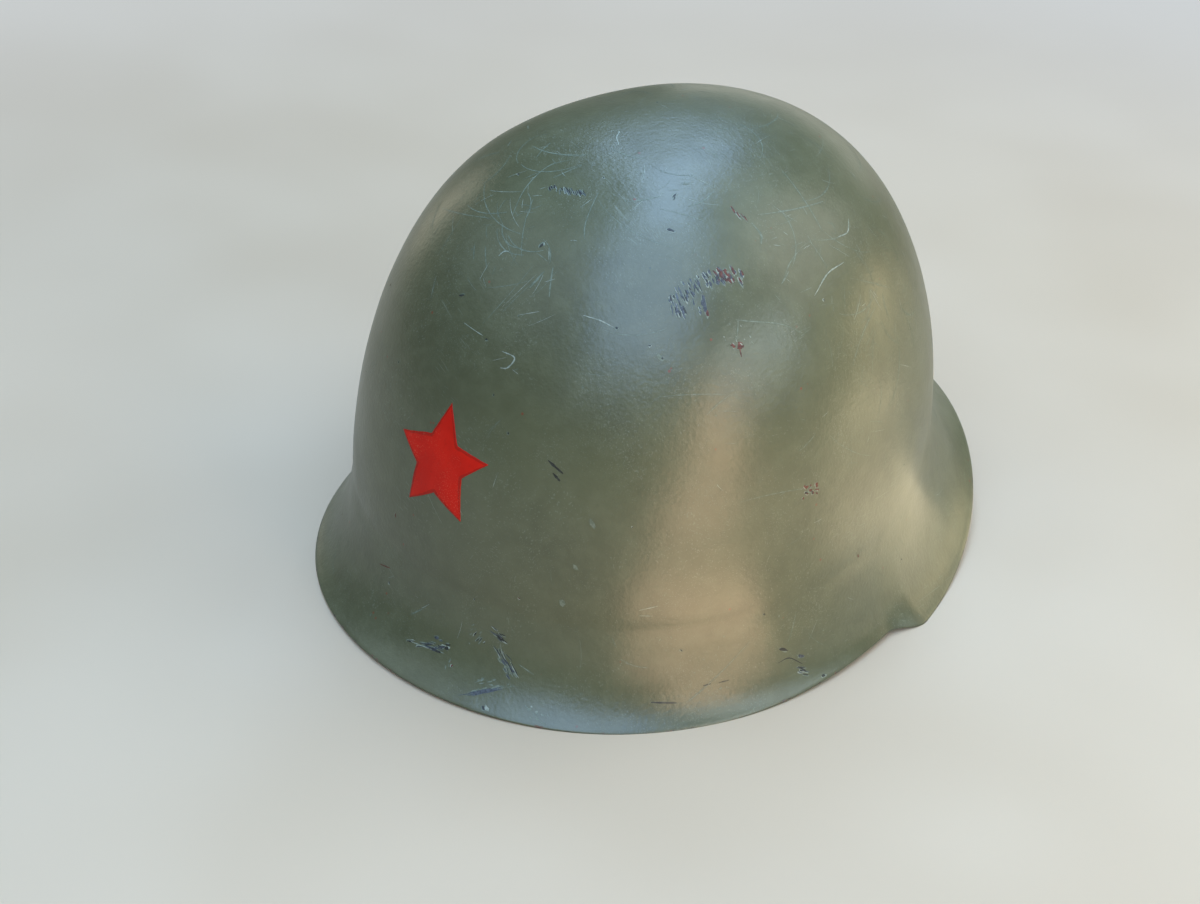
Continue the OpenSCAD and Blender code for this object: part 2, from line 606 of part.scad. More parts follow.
// Strap rivets through both layers
strap_head_r = 3;
strap_head_h = 0.9;
strap_tail_h = 0.6;
module strap_rivet(s) along(s) translate([fold_face - rivet_room, 0, 0])
    rivet(2 * (strap_t + rivet_room), strap_rivet_r, strap_head_r, strap_head_h, strap_tail_h);
module strap_rivets_left() color("#8d8f88") strap_plane(1) {
    strap_rivet(rivet_at);
    strap_rivet(buckle_at - rivet_at);
}
module strap_rivets_right() color("#8d8f88") strap_plane(-1) strap_rivet(rivet_at);

// Buckle: a frame bent from wire, with the strap's bar and the roller's bar
module buckle_frame() color("#8d8f88") strap_plane(1) along(buckle_at) {
    for (y = [0, buckle_l]) translate([0, y, 0])
        cylinder(h = buckle_w, r = wire_r, center = true, $fn = 32);
    for (z = [-1, 1]) translate([0, 0, z * buckle_w / 2]) {
        rotate([-90, 0, 0]) cylinder(h = buckle_l, r = wire_r, $fn = 32);
        for (y = [0, buckle_l]) translate([0, y, 0]) sphere(r = wire_r, $fn = 32);
    }
}
module buckle_roller() color("#a3a59d") strap_plane(1) along(buckle_at)
    translate([0, buckle_l, 0]) difference() {
        cylinder(h = strap_w, r = roller_r, center = true);
        cylinder(h = strap_w + cut, r = wire_r + run_gap, center = true);
    }

// Prong: an eye on the strap's bar and a tongue that rests on the roller
prong_w = 2.8;
prong_t = 1.5;
prong_eye_r = wire_r + run_gap + 1;
prong_lift = roller_r + run_gap;
prong_knee = 4;
prong_over = 1.6;
module buckle_prong() color("#a3a59d") strap_plane(1) along(buckle_at) difference() {
    union() {
        cylinder(h = prong_w, r = prong_eye_r, center = true);
        linear_extrude(prong_w, center = true) polygon([
            [0, 0], [prong_eye_r * 0.7, prong_eye_r * 0.5], [prong_lift, prong_knee],
            [prong_lift, buckle_l + prong_over], [prong_lift + prong_t * 0.6, buckle_l + prong_over],
            [prong_lift + prong_t, buckle_l], [prong_lift + prong_t, prong_knee],
            [prong_eye_r * 0.9, -prong_eye_r * 0.2]]);
    }
    cylinder(h = prong_w + cut, r = wire_r + run_gap, center = true);
}

// Keeper: a leather loop that slides on the straight end
keeper_at = side_l + 9; // along the strap's straight end
keeper_l = 7;
keeper_gap = 0.12;
// Room in the loop for the strap and for the other strap's tail outside it
keeper_room = 2 * strap_t + 2 * keeper_gap;
module strap_keeper() color("#48301e") strap_plane(1) along(keeper_at)
    translate([strap_t / 2, 0, 0]) rotate([90, 0, 0]) linear_extrude(keeper_l, center = true) difference() {
        square([keeper_room + 2 * leather_t, strap_w + 2 * keeper_gap + 2 * leather_t], center = true);
        square([keeper_room, strap_w + 2 * keeper_gap], center = true);
    }

steel_shell();
star_emblem();
hoop_bracket(front_bracket_angle);  // hoop_bracket_front_left
hoop_bracket(-front_bracket_angle);  // hoop_bracket_front_right
hoop_bracket(rear_bracket_angle);  // hoop_bracket_rear_left
hoop_bracket(-rear_bracket_angle);  // hoop_bracket_rear_right
liner_hoop();
hoop_rivets();
forehead_pad();
nape_pad();
temple_pad_left();
temple_pad_right();
sweatband();
crown_tongue(1);  // crown_tongue_1
crown_tongue(2);  // crown_tongue_2
crown_tongue(3);  // crown_tongue_3
crown_tongue(4);  // crown_tongue_4
crown_tongue(5);  // crown_tongue_5
crown_tongue(6);  // crown_tongue_6
crown_lace();
strap_plate(1);  // strap_plate_left
strap_plate(-1);  // strap_plate_right
pivot_stud(1);  // pivot_stud_left
pivot_stud(-1);  // pivot_stud_right
strap_lug(1);  // strap_lug_left
strap_lug(-1);  // strap_lug_right
buckle_strap();
hole_strap();
strap_rivets_left();
strap_rivets_right();
buckle_frame();
buckle_roller();
buckle_prong();
strap_keeper();
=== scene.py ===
import math
import random

import bmesh
import bpy
import numpy as np
from mathutils import Matrix, Vector, noise


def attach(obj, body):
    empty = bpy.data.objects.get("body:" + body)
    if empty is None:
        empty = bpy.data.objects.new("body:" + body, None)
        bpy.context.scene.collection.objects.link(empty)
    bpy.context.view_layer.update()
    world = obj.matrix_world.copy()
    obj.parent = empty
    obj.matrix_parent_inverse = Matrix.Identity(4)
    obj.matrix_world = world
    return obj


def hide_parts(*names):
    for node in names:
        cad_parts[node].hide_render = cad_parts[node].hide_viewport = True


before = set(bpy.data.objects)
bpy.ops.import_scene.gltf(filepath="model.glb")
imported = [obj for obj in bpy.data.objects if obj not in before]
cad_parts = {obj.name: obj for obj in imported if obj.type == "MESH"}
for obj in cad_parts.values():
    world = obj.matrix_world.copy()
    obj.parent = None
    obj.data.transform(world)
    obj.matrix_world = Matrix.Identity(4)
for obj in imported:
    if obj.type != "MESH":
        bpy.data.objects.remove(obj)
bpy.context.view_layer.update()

MM = 0.001

# Shell form in mm and degrees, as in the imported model. Angle 0 is the front, 90 the wearer's left.
FRONT_REACH = 110.0
REAR_REACH = 126.0
HALF_WIDTH = 102.5
CROWN_H = 172.0
SHEET_T = 1.3
PLAN_POWER = 2.05
LEAN = math.radians(6.5)
MID_Y = 9.9222
FRONT_WAIST, EAR_WAIST, NAPE_WAIST = 48.0, 40.0, 64.0
FRONT_FLARE, EAR_FLARE, SKIRT_FLARE, NAPE_FLARE = 22.0, 10.5, 17.3, 29.0
STEP_FROM, STEP_TO, NAPE_END = 95.5, 102.5, 172.0
BRIM_ARCH, ARCH_END = 1.8, 50.0
EAR_RISE, EAR_FROM, NAPE_RISE, EDGE_LIFT = 3.3, 55.0, 27.0, 0.195
FRONT_FULL, SIDE_FULL, REAR_FULL = 1.6, 1.9, 2.05
FRONT_CROWN, SIDE_CROWN = 2.3, 2.8
FLARE_TURN = math.radians(55)

# Unevenness of the pressed sheet: height and width of its waves, and dents as angle, share, radius, depth.
# It fades out from TRUE_FROM to the rim, which stays true.
SLOW_WAVE, SLOW_WIDTH = 0.3, 60.0
QUICK_WAVE, QUICK_WIDTH = 0.07, 19.0
DENTS = [(-125, 0.175, 15, 1.1), (41, 0.33, 11, 0.35), (118, 0.62, 13, 0.4), (8, 0.62, 9, 0.25)]
TRUE_FROM = 1.7

# The outside is filled a little where the wall turns into the brim: depth, then the angles and the shares
# between which the filling fades
FILL, FILL_ANGLES, FILL_RISE, FILL_FALL = 1.5, (85.0, 115.0), (0.82, 1.22), (1.25, 1.97)

# Star on the front
STAR_R, STAR_X, STAR_Z, STAR_TURN = 21.0, 0.0, 90.5, -3.0
STAR_CORNERS = [(0.98, 0), (0.5, -3), (1, 7), (0.53, -1), (1.01, 0),
                (0.49, -3), (0.97, 1.5), (0.5, 11.5), (0.99, -0.5), (0.51, -1)]
PAINT_T = 0.12

# Liner
HOOP_INSET, HOOP_T, HOOP_H, HOOP_Z = 13.3, 1.2, 18.0, 54.0
PAD_T, LEATHER_T, SEAT_GAP, FLAT_GAP = 3.4, 1.6, 0.3, 0.5
BAND_TOP = 81.0
PAD_OUT = HOOP_INSET + HOOP_T + SEAT_GAP
BAND_OUT = PAD_OUT + PAD_T + SEAT_GAP
BAND_FOOT = HOOP_Z - SEAT_GAP - LEATHER_T
LIP_OUT = HOOP_INSET - SEAT_GAP - LEATHER_T
LIP_TOP = HOOP_Z + 5
LINER_Y = (REAR_REACH - FRONT_REACH) / 2
LACE_R, LACE_D, LACE_Z = 26.0, 2.8, CROWN_H - 24
TONGUES, TONGUE_HALF, LOOP_HALF = 6, 22.0, 10.0
TONGUE_INSET = BAND_OUT - FLAT_GAP - LEATHER_T
TONGUE_FOOT = HOOP_Z + HOOP_H + 1
LOOP_WALL, LOOP_GAP, LOOP_L = 1.1, 0.7, 9.0
LOOP_R = LACE_D / 2 + LOOP_GAP
FRONT_BRACKET, REAR_BRACKET, PAD_CLEAR = 42.0, 138.0, 5.0

# Chin strap
PIVOT_Z = 40.0
LEFT_DROOP, RIGHT_DROOP = 14.1498, 16.7082
LUG_X, LUG_REACH = 95.0147, 13.0
STRAP_W, STRAP_T = 16.0, 1.6
BEND_R, BEND_TURN = 84.0, 55.0
TAIL_R, TAIL_TURN = 167.0, 24.0
BUCKLE_RUN = 39.0
BAR_BORE, RIVET_BORE, HOLE_R = 1.35, 1.4, 1.5
HOLE_PITCH, HOLE_COUNT, TIP_L = 9.0, 6, 9.0
SLOT_W = 4.4
RIVET_AT = 12.0
ROOT_RUN, ROOT_FOLD = 10.0, 20.0
END_RUN, END_FOLD = 6.0, 17.0
KEEPER_L, KEEPER_GAP = 7.0, 0.12
SIDE_L = BEND_R * math.radians(BEND_TURN)
BUCKLE_AT = SIDE_L + BUCKLE_RUN
HOLE_STRAP_L = SIDE_L + TAIL_R * math.radians(TAIL_TURN)
KEEPER_AT = SIDE_L + 9


# Form of the shell

def ease(a, b, t):
    """Smooth step from 0 at a to 1 at b."""
    u = np.clip((t - a) / (b - a), 0, 1)
    return u * u * (3 - 2 * u)


def power(value, exponent):
    return np.sign(value) * np.abs(value) ** exponent


def fold(a):
    """Angle from the front to either side, 0 to 180."""
    a = np.mod(a, 360)
    return np.where(a > 180, 360 - a, a)


def plan(a, inset=0.0):
    """The waist's outline from above, drawn in by inset."""
    r = np.radians(a)
    reach = np.where(np.cos(r) >= 0, FRONT_REACH, REAR_REACH) - inset
    x = (HALF_WIDTH - inset) * power(np.sin(r), 2 / PLAN_POWER)
    return x, -reach * power(np.cos(r), 2 / PLAN_POWER)


def waist_z(t):
    to_ear = (EAR_WAIST - FRONT_WAIST) * ease(0, 90, t)
    return FRONT_WAIST + to_ear + (NAPE_WAIST - EAR_WAIST) * ease(90, 180, t)


def flare(t):
    brim = FRONT_FLARE + (EAR_FLARE - FRONT_FLARE) * ease(0, STEP_FROM, t)
    step = (SKIRT_FLARE - EAR_FLARE) * ease(STEP_FROM, STEP_TO, t)
    return brim + step + (NAPE_FLARE - SKIRT_FLARE) * ease(STEP_TO, NAPE_END, t)


def edge_rise(t):
    ear = EAR_RISE * (ease(EAR_FROM, STEP_FROM, t) - ease(STEP_FROM, STEP_TO, t))
    return BRIM_ARCH * (1 - ease(0, ARCH_END, t)) + ear + NAPE_RISE * ease(STEP_TO, NAPE_END, t) + EDGE_LIFT


def fullness(a):
    c = np.cos(np.radians(a))
    return SIDE_FULL + c * c * (np.where(c >= 0, FRONT_FULL, REAR_FULL) - SIDE_FULL)


def crown(a):
    c = np.cos(np.radians(a))
    return SIDE_CROWN + np.where(c >= 0, c * c * (FRONT_CROWN - SIDE_CROWN), 0)


def outer(a, v):
    """Points of the ideal shell before it leans. Share v is 0 at the crown, 1 at the waist, 2 at the rim."""
    a, v = np.broadcast_arrays(np.asarray(a, float), np.asarray(v, float))
    px, py = plan(a)
    waist = waist_z(fold(a))
    tilt = np.radians(90 * (1 - np.minimum(v, 1)))
    k = np.maximum(np.cos(tilt), 0) ** (2 / crown(a))
    dome_z = waist + (CROWN_H - waist) * np.sin(tilt) ** (2 / fullness(a))
    turn = FLARE_TURN * (np.maximum(v, 1) - 1)
    out = flare(fold(a)) / np.hypot(px, py)
    edge_z = edge_rise(fold(a)) - (py + py * out) * math.tan(LEAN)
    s = (1 - np.cos(turn)) / (1 - math.cos(FLARE_TURN))
    flare_z = waist - (waist - edge_z) * np.sin(turn) / math.sin(FLARE_TURN)
    k = np.where(v <= 1, k, 1 + out * s)
    return np.stack([px * k, py * k, np.where(v <= 1, dome_z, flare_z)], -1)


ANGLE_STEP, SHARE_STEP, FIRST_SHARE = 0.4, 0.004, 0.01


def normal(a, v):
    """Outward direction of the ideal shell, from small steps along it."""
    v = np.maximum(v, FIRST_SHARE)
    down = outer(a, np.minimum(v + SHARE_STEP, 2)) - outer(a, v - SHARE_STEP)
    round_ = outer(a + ANGLE_STEP, v) - outer(a - ANGLE_STEP, v)
    n = np.cross(down, round_)
    return n / np.linalg.norm(n, axis=-1, keepdims=True)


def stand(p):
    """From the dome's own frame, in mm, to the row frame, in metres."""
    c, s = math.cos(LEAN), math.sin(LEAN)
    x, y, z = p[..., 0], p[..., 1], p[..., 2]
    return np.stack([x, y * c - z * s - MID_Y, y * s + z * c], -1) * MM


def waves(points):
    """Slow and quick unevenness at points in mm."""
    values = []
    for p in points.reshape(-1, 3):
        slow = SLOW_WAVE * noise.noise(Vector(p) / SLOW_WIDTH)
        values.append(slow + QUICK_WAVE * noise.noise(Vector(p) / QUICK_WIDTH))
    return np.array(values).reshape(points.shape[:-1])


def dents(points):
    """Depth of the dents at points in mm."""
    depth = np.zeros(points.shape[:-1])
    for a, v, r, d in DENTS:
        apart = np.linalg.norm(points - outer(a, v), axis=-1)
        depth += d * np.exp(-(apart / r) ** 2)
    return depth


def hollow_fill(a, v):
    """How far the outside is filled, in mm, so that the wall flows softly into the brim."""
    return FILL * (1 - ease(*FILL_ANGLES, fold(a))) * ease(*FILL_RISE, v) * (1 - ease(*FILL_FALL, v))


def skin(a, v, lift=0.0, outside=True):
    """Points of the real, slightly uneven surface, lifted by lift mm, in metres in the row frame."""
    a, v = np.broadcast_arrays(np.asarray(a, float), np.asarray(v, float))
    p, n = outer(a, v), normal(a, v)
    fade = 1 - ease(TRUE_FROM, 2.0, v)
    high = (waves(p) - dents(p)) * fade + lift + outside * hollow_fill(a, v)
    return stand(p + n * high[..., None])


# Mesh helpers

def put_in_scene(name, data):
    obj = bpy.data.objects.new(name, data)
    bpy.context.scene.collection.objects.link(obj)
    return obj


def new_mesh(name, points, faces):
    mesh = bpy.data.meshes.new(name)
    mesh.from_pydata([tuple(p) for p in points], [], [tuple(f) for f in faces])
    return mesh


def outwards(obj):
    """Turns every face of a closed piece outwards."""
    bm = bmesh.new()
    bm.from_mesh(obj.data)
    bmesh.ops.recalc_face_normals(bm, faces=bm.faces)
    bm.to_mesh(obj.data)
    bm.free()


def new_object(name, points, faces, body, slot, materials, closed=True):
    """A piece of points in metres that rides on a body and takes its finish from materials; slot is not used.
    """
    mesh = new_mesh(name, np.asarray(points, float), faces)
    mesh.validate()
    mesh.update()
    mesh.shade_smooth()
    for material in materials:
        mesh.materials.append(material)
    obj = put_in_scene(name, mesh)
    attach(obj, body)
    if closed:
        outwards(obj)
    return obj


def grid_faces(rows, cols, closed_cols=True, closed_rows=False, start=0):
    """Quads of a grid of points numbered row by row."""
    faces = []
    for i in range(rows if closed_rows else rows - 1):
        for j in range(cols if closed_cols else cols - 1):
            a, b = start + i * cols + j, start + i * cols + (j + 1) % cols
            down = cols * ((i + 1) % rows - i)
            faces.append((a, b, b + down, a + down))
    return faces


def end_faces(rows, cols, start=0):
    """The two flat ends of a tube of rows."""
    last = start + (rows - 1) * cols
    return [tuple(range(start, start + cols))[::-1], tuple(range(last, last + cols))]


def turns(count):
    """Even angles round a circle, in radians."""
    return np.linspace(0, 2 * math.pi, count, endpoint=False)


def arc(x, y, r, start, end, count):
    """Points of an arc about (x, y), with start and end in degrees."""
    angles = np.radians(np.linspace(start, end, count + 1))
    return [(x + r * math.cos(t), y + r * math.sin(t)) for t in angles]


def rotation(degrees, axis):
    return Matrix.Rotation(math.radians(degrees), 4, axis)


def lump(x, y, z):
    """Smooth noise between -1 and 1."""
    return noise.noise(Vector((x, y, z)))


def set_points(obj, name, values):
    """One number a point, which a material reads by its name."""
    layer = obj.data.attributes.new(name, "FLOAT", "POINT")
    layer.data.foreach_set("value", np.asarray(values, np.float32).ravel())


def round_edges(obj, width, angle=40):
    """Bevels the edges sharper than angle and keeps the rest as they are."""
    bevel = obj.modifiers.new("edges", "BEVEL")
    bevel.width = width * MM
    bevel.segments = 2
    bevel.limit_method = "ANGLE"
    bevel.angle_limit = math.radians(angle)


def settle(obj):
    """Replaces an object's mesh by what its modifiers make of it."""
    made = bpy.data.meshes.new_from_object(obj.evaluated_get(bpy.context.evaluated_depsgraph_get()))
    obj.modifiers.clear()
    obj.data = made


# Node helpers

def srgb(r, g, b):
    """A colour given as 0 to 255 as the eye sees it, in linear light."""
    shares = [c / 255 for c in (r, g, b)]
    return (*[c / 12.92 if c <= 0.04045 else ((c + 0.055) / 1.055) ** 2.4 for c in shares], 1.0)


class Finish:
    """One material's node tree, with short calls that add a node and return its output."""

    def __init__(self, name, **constants):
        self.material = bpy.data.materials.new(name)
        self.material.use_nodes = True
        self.tree = self.material.node_tree
        self.tree.nodes.clear()
        self.shader = self.tree.nodes.new("ShaderNodeBsdfPrincipled")
        self.end = self.tree.nodes.new("ShaderNodeOutputMaterial")
        self.put(self.end.inputs[0], self.shader.outputs[0])
        self.place = self.add("TexCoord", {}, "Object")
        for key, value in constants.items():
            self.put(self.shader.inputs[key.replace("_", " ")], value)

    def put(self, socket, value):
        """Links an output to a socket, or writes a constant there. A tuple is a colour from 0 to 255."""
        if hasattr(value, "is_linked"):
            self.tree.links.new(value, socket)
        else:
            socket.default_value = srgb(*value) if isinstance(value, tuple) else value

    def add(self, kind, inputs, output=0, **settings):
        """Adds a node with these settings and inputs, and returns one of its outputs."""
        node = self.tree.nodes.new("ShaderNode" + kind)
        for key, value in settings.items():
            setattr(node, key, value)
        for key, value in inputs.items():
            self.put(node.inputs[key], value)
        return node.outputs[output]

    def turned(self, turn, stretch):
        """Object coordinates turned by degrees about X, Y and Z, then squeezed, so a pattern stretches."""
        spin = [math.radians(t) for t in turn]
        inputs = {"Rotation": spin, "Scale": list(stretch), "Vector": self.place}
        return self.add("Mapping", inputs, vector_type="TEXTURE")

    def noise(self, size, detail=3.0, rough=0.55, at=None):
        """Cloudy noise from 0 to 1 with features of about size mm."""
        inputs = {"Scale": 1 / (size * MM), "Detail": detail, "Roughness": rough, "Vector": at or self.place}
        return self.add("TexNoise", inputs)

    def cells(self, size, feature="F1", at=None):
        """Distances in cells of about size mm."""
        inputs = {"Scale": 1 / (size * MM), "Vector": at or self.place}
        return self.add("TexVoronoi", inputs, "Distance", feature=feature)

    def named(self, name):
        """A value stored on the mesh's points."""
        return self.add("Attribute", {}, "Fac", attribute_name=name)

    def step(self, value, low, high, to_low=0.0, to_high=1.0):
        """Smooth step of a value from low to high."""
        inputs = {"Value": value, "From Min": low, "From Max": high, "To Min": to_low, "To Max": to_high}
        return self.add("MapRange", inputs, interpolation_type="SMOOTHSTEP")

    def cloud(self, size, low, high, to_low=0.0, to_high=1.0, detail=3.0, rough=0.55, at=None):
        """Smooth step of a cloudy noise."""
        return self.step(self.noise(size, detail, rough, at), low, high, to_low, to_high)

    def math(self, kind, a, b):
        return self.add("Math", {0: a, 1: b}, operation=kind)

    def times(self, a, b):
        return self.math("MULTIPLY", a, b)

    def mix(self, share, a, b):
        """Colour a, with b over it by share."""
        return self.add("Mix", {0: share, 6: a, 7: b}, 2, data_type="RGBA")

    def dress(self, colour, rough, *relief, metal=0.0):
        """The finished material. Relief is given as (height, depth in mm) layers."""
        for key, value in (("Base Color", colour), ("Roughness", rough), ("Metallic", metal)):
            self.put(self.shader.inputs[key], value)
        below = {}
        for height, depth in relief:
            inputs = {"Strength": 1.0, "Distance": depth * MM, "Height": height, **below}
            below = {"Normal": self.add("Bump", inputs)}
        for key, value in below.items():
            self.put(self.shader.inputs[key], value)
        return self.material


# Materials. Colours are 0 to 255 as the eye sees them, sizes and depths mm.

PAINT, PAINT_DARK, PAINT_PALE, PAINT_OLD = (78, 82, 57), (69, 73, 50), (89, 93, 68), (58, 60, 48)
SCRATCHED, BARE, RUST = (118, 127, 110), (88, 86, 80), (104, 58, 36)
STAR_RED, STAR_BRIGHT, STAR_DULL = (186, 20, 6), (200, 26, 8), (158, 24, 10)
STAR_EDGE, STAR_SCRATCHED = (104, 20, 10), (214, 128, 104)
LINER_DARK, LINER_PALE, LINER_WORN = (52, 55, 47), (68, 71, 60), (122, 84, 60)
STEEL_DARK, STEEL_PALE, STEEL_RUST = (128, 126, 119), (158, 156, 149), (104, 62, 40)


def scratch_lines(f, turn, width, length, threshold):
    """Fine lines along one direction, broken up by a coarser noise."""
    lines = f.noise(width, 0.0, at=f.turned(turn, (1, 1, length / width)))
    patches = f.cloud(21.0, 0.5, 0.64, detail=2.0, at=f.turned(turn, (1, 1, 1.7)))
    return f.times(f.step(lines, threshold, threshold + 0.05), patches)


def paint_colour(f, worn):
    """Green-grey paint: cloudy and faintly mottled, with fine scratches by worn."""
    tone = f.mix(f.cloud(48.0, 0.3, 0.7), PAINT_DARK, PAINT)
    tone = f.mix(f.cloud(7.0, 0.35, 0.75, 0.0, 0.5, 4.0, 0.65), tone, PAINT_PALE)
    mottle = f.cloud(1.3, 0.6, 0.75, 0.0, 0.4, 2.0, at=f.turned((40, 20, 10), (1, 1, 1)))
    tone = f.mix(mottle, tone, PAINT_DARK)
    lines = scratch_lines(f, (25, 10, 30), 0.5, 16.0, 0.70)
    for turn in ((80, 35, 0), (110, -40, 60), (60, 75, 20)):
        lines = f.math("MAXIMUM", lines, scratch_lines(f, turn, 0.45, 13.0, 0.71))
    marks = f.times(lines, 0.45)
    return f.mix(f.times(marks, worn), tone, SCRATCHED), marks


def shell_paint():
    """Satin paint with a few rusty dots, worn to bare metal in a ragged line along the rim."""
    f = Finish("shell_paint", Specular_IOR_Level=0.75)
    tone, marks = paint_colour(f, 0.7)
    dots = f.times(f.step(f.cells(7.0), 0.085, 0.05), f.cloud(15.0, 0.55, 0.62, detail=1.0))
    ragged = f.times(f.noise(4.0, 4.0, 0.7), 3.6)
    bare = f.step(f.math("SUBTRACT", f.math("ADD", f.named("rim_distance"), 2.15), ragged), 0.2, -0.1)
    rusty = f.cloud(3.5, 0.52, 0.66, 0.0, 0.7, rough=0.65)
    colour = f.mix(bare, f.mix(dots, tone, RUST), f.mix(rusty, BARE, RUST))
    dull = f.math("ADD", f.cloud(22.0, 0.3, 0.7, 0.31, 0.37), f.times(marks, 0.12))
    rough = f.math("MAXIMUM", dull, f.times(bare, 0.6))
    metal = f.times(bare, f.cloud(3.5, 0.6, 0.42, 0.0, 0.8, rough=0.65))
    grain = (f.noise(3.6, 2.0), 0.045), (f.noise(1.5, 2.0), 0.095)
    return f.dress(colour, rough, *grain, (marks, -0.02), (bare, -0.06), metal=metal)


def inner_paint():
    """The same paint inside, duller and grimier."""
    f = Finish("shell_paint_inside", Specular_IOR_Level=0.4)
    tone, marks = paint_colour(f, 0.35)
    colour = f.mix(f.cloud(30.0, 0.35, 0.7, 0.0, 0.45), tone, PAINT_OLD)
    return f.dress(colour, f.cloud(15.0, 0.3, 0.7, 0.5, 0.62), (f.noise(1.8, 2.0), 0.03), (marks, -0.015))


def star_paint():
    """Red paint, uneven and scratched, darker along its ragged edge."""
    f = Finish("star_paint", Specular_IOR_Level=0.2)
    tone = f.mix(f.cloud(11.0, 0.3, 0.7), STAR_RED, STAR_BRIGHT)
    tone = f.mix(f.cloud(1.1, 0.55, 0.75, 0.0, 0.4, rough=0.6), tone, STAR_DULL)
    ragged = f.times(f.noise(1.6, 2.0), 0.8)
    edge = f.step(f.math("SUBTRACT", f.named("edge_distance"), ragged), 0.35, 0.0)
    tone = f.mix(f.times(edge, 0.45), tone, STAR_EDGE)
    lines = scratch_lines(f, (80, 20, 25), 0.4, 11.0, 0.66)
    lines = f.math("MAXIMUM", lines, scratch_lines(f, (100, -50, 10), 0.4, 12.0, 0.68))
    colour = f.mix(f.times(lines, 0.22), tone, STAR_SCRATCHED)
    relief = (f.noise(2.1, 2.0), 0.03), (f.noise(0.5, 2.0), 0.01), (lines, -0.02)
    return f.dress(colour, f.cloud(9.0, 0.3, 0.7, 0.42, 0.52), *relief)


def mark_finish(name, first, second, size, roughness):
    """Finish of a wear mark: two tones broken up by fine noise."""
    f = Finish(name)
    tone = f.mix(f.cloud(size, 0.4, 0.6, detail=4.0, rough=0.7), first, second)
    colour = f.mix(f.cloud(size / 4, 0.5, 0.7, 0.0, 0.5, 2.0), tone, first)
    rough = f.cloud(size, 0.3, 0.7, roughness - 0.06, roughness + 0.06, 2.0)
    return f.dress(colour, rough, (f.noise(size / 3), 0.03))


def liner_paint():
    f = Finish("liner_paint", Specular_IOR_Level=0.45)
    tone = f.mix(f.cloud(18.0, 0.3, 0.7, detail=4.0), LINER_DARK, LINER_PALE)
    worn = f.times(f.cloud(6.0, 0.6, 0.66, detail=4.0, rough=0.7), f.cloud(1.2, 0.45, 0.55))
    colour = f.mix(worn, tone, LINER_WORN)
    return f.dress(colour, f.cloud(9.0, 0.3, 0.7, 0.42, 0.56), (f.noise(1.4), 0.03), (worn, -0.03))


def bare_steel():
    """Brushed steel with a little rust."""
    f = Finish("bare_steel")
    tone = f.mix(f.cloud(6.0, 0.3, 0.7, detail=4.0), STEEL_DARK, STEEL_PALE)
    brushed = f.noise(0.22, 1.0, at=f.turned((0, 0, 35), (1, 9, 1)))
    rust = f.times(f.cloud(4.0, 0.6, 0.68, detail=4.0, rough=0.7), f.cloud(0.8, 0.42, 0.55))
    rough = f.math("ADD", f.step(brushed, 0.3, 0.7, 0.32, 0.46), f.times(rust, 0.35))
    metal = f.math("SUBTRACT", 1.0, f.times(rust, 0.9))
    return f.dress(f.mix(rust, tone, STEEL_RUST), rough, (brushed, 0.006), (rust, 0.03), metal=metal)


def leather(name, dark, mid, pale, grain, shine):
    """Vegetable-tanned leather: pebbled grain, creases, darker handling and small pale patches."""
    f = Finish(name, Specular_IOR_Level=0.4)
    tone = f.mix(f.cloud(24.0, 0.3, 0.7, detail=4.0), dark, mid)
    tone = f.mix(f.cloud(3.5, 0.52, 0.75, 0.0, 0.55, 4.0, 0.65), tone, pale)
    pebbles = f.cells(grain, "DISTANCE_TO_EDGE")
    # Darker in the grain's valleys between the pebbles: painted shade.
    tone = f.mix(f.step(pebbles, 0.12, 0.0, 0.0, 0.45), tone, dark)
    creases = f.step(f.cells(6.5, "DISTANCE_TO_EDGE", f.turned((15, 25, 40), (1, 1.7, 1))), 0.05, 0.0)
    # Darker along the creases: painted shade.
    colour = f.mix(f.times(creases, 0.4), tone, dark)
    relief = (f.step(pebbles, 0.0, 0.3), 0.05), (f.noise(0.35, 2.0), 0.02), (creases, -0.08)
    return f.dress(colour, f.cloud(8.0, 0.3, 0.7, shine, shine + 0.16), *relief)


def fibre(name, first, second, size, depth, fuzz):
    """Felt or cotton: short tangled fibres, in two tones, with a soft sheen."""
    f = Finish(name, Specular_IOR_Level=0.2, Sheen_Weight=fuzz, Sheen_Roughness=0.6)
    one, two = [f.noise(size, at=f.turned(turn, (1, 1, 5))) for turn in ((20, 70, 10), (80, 10, 50))]
    tangle = f.math("MAXIMUM", one, two)
    tone = f.mix(f.step(tangle, 0.42, 0.7), first, second)
    colour = f.mix(f.cloud(12.0, 0.45, 0.75, 0.0, 0.4), tone, first)
    return f.dress(colour, f.cloud(5.0, 0.3, 0.7, 0.84, 0.96, 2.0), (tangle, depth))


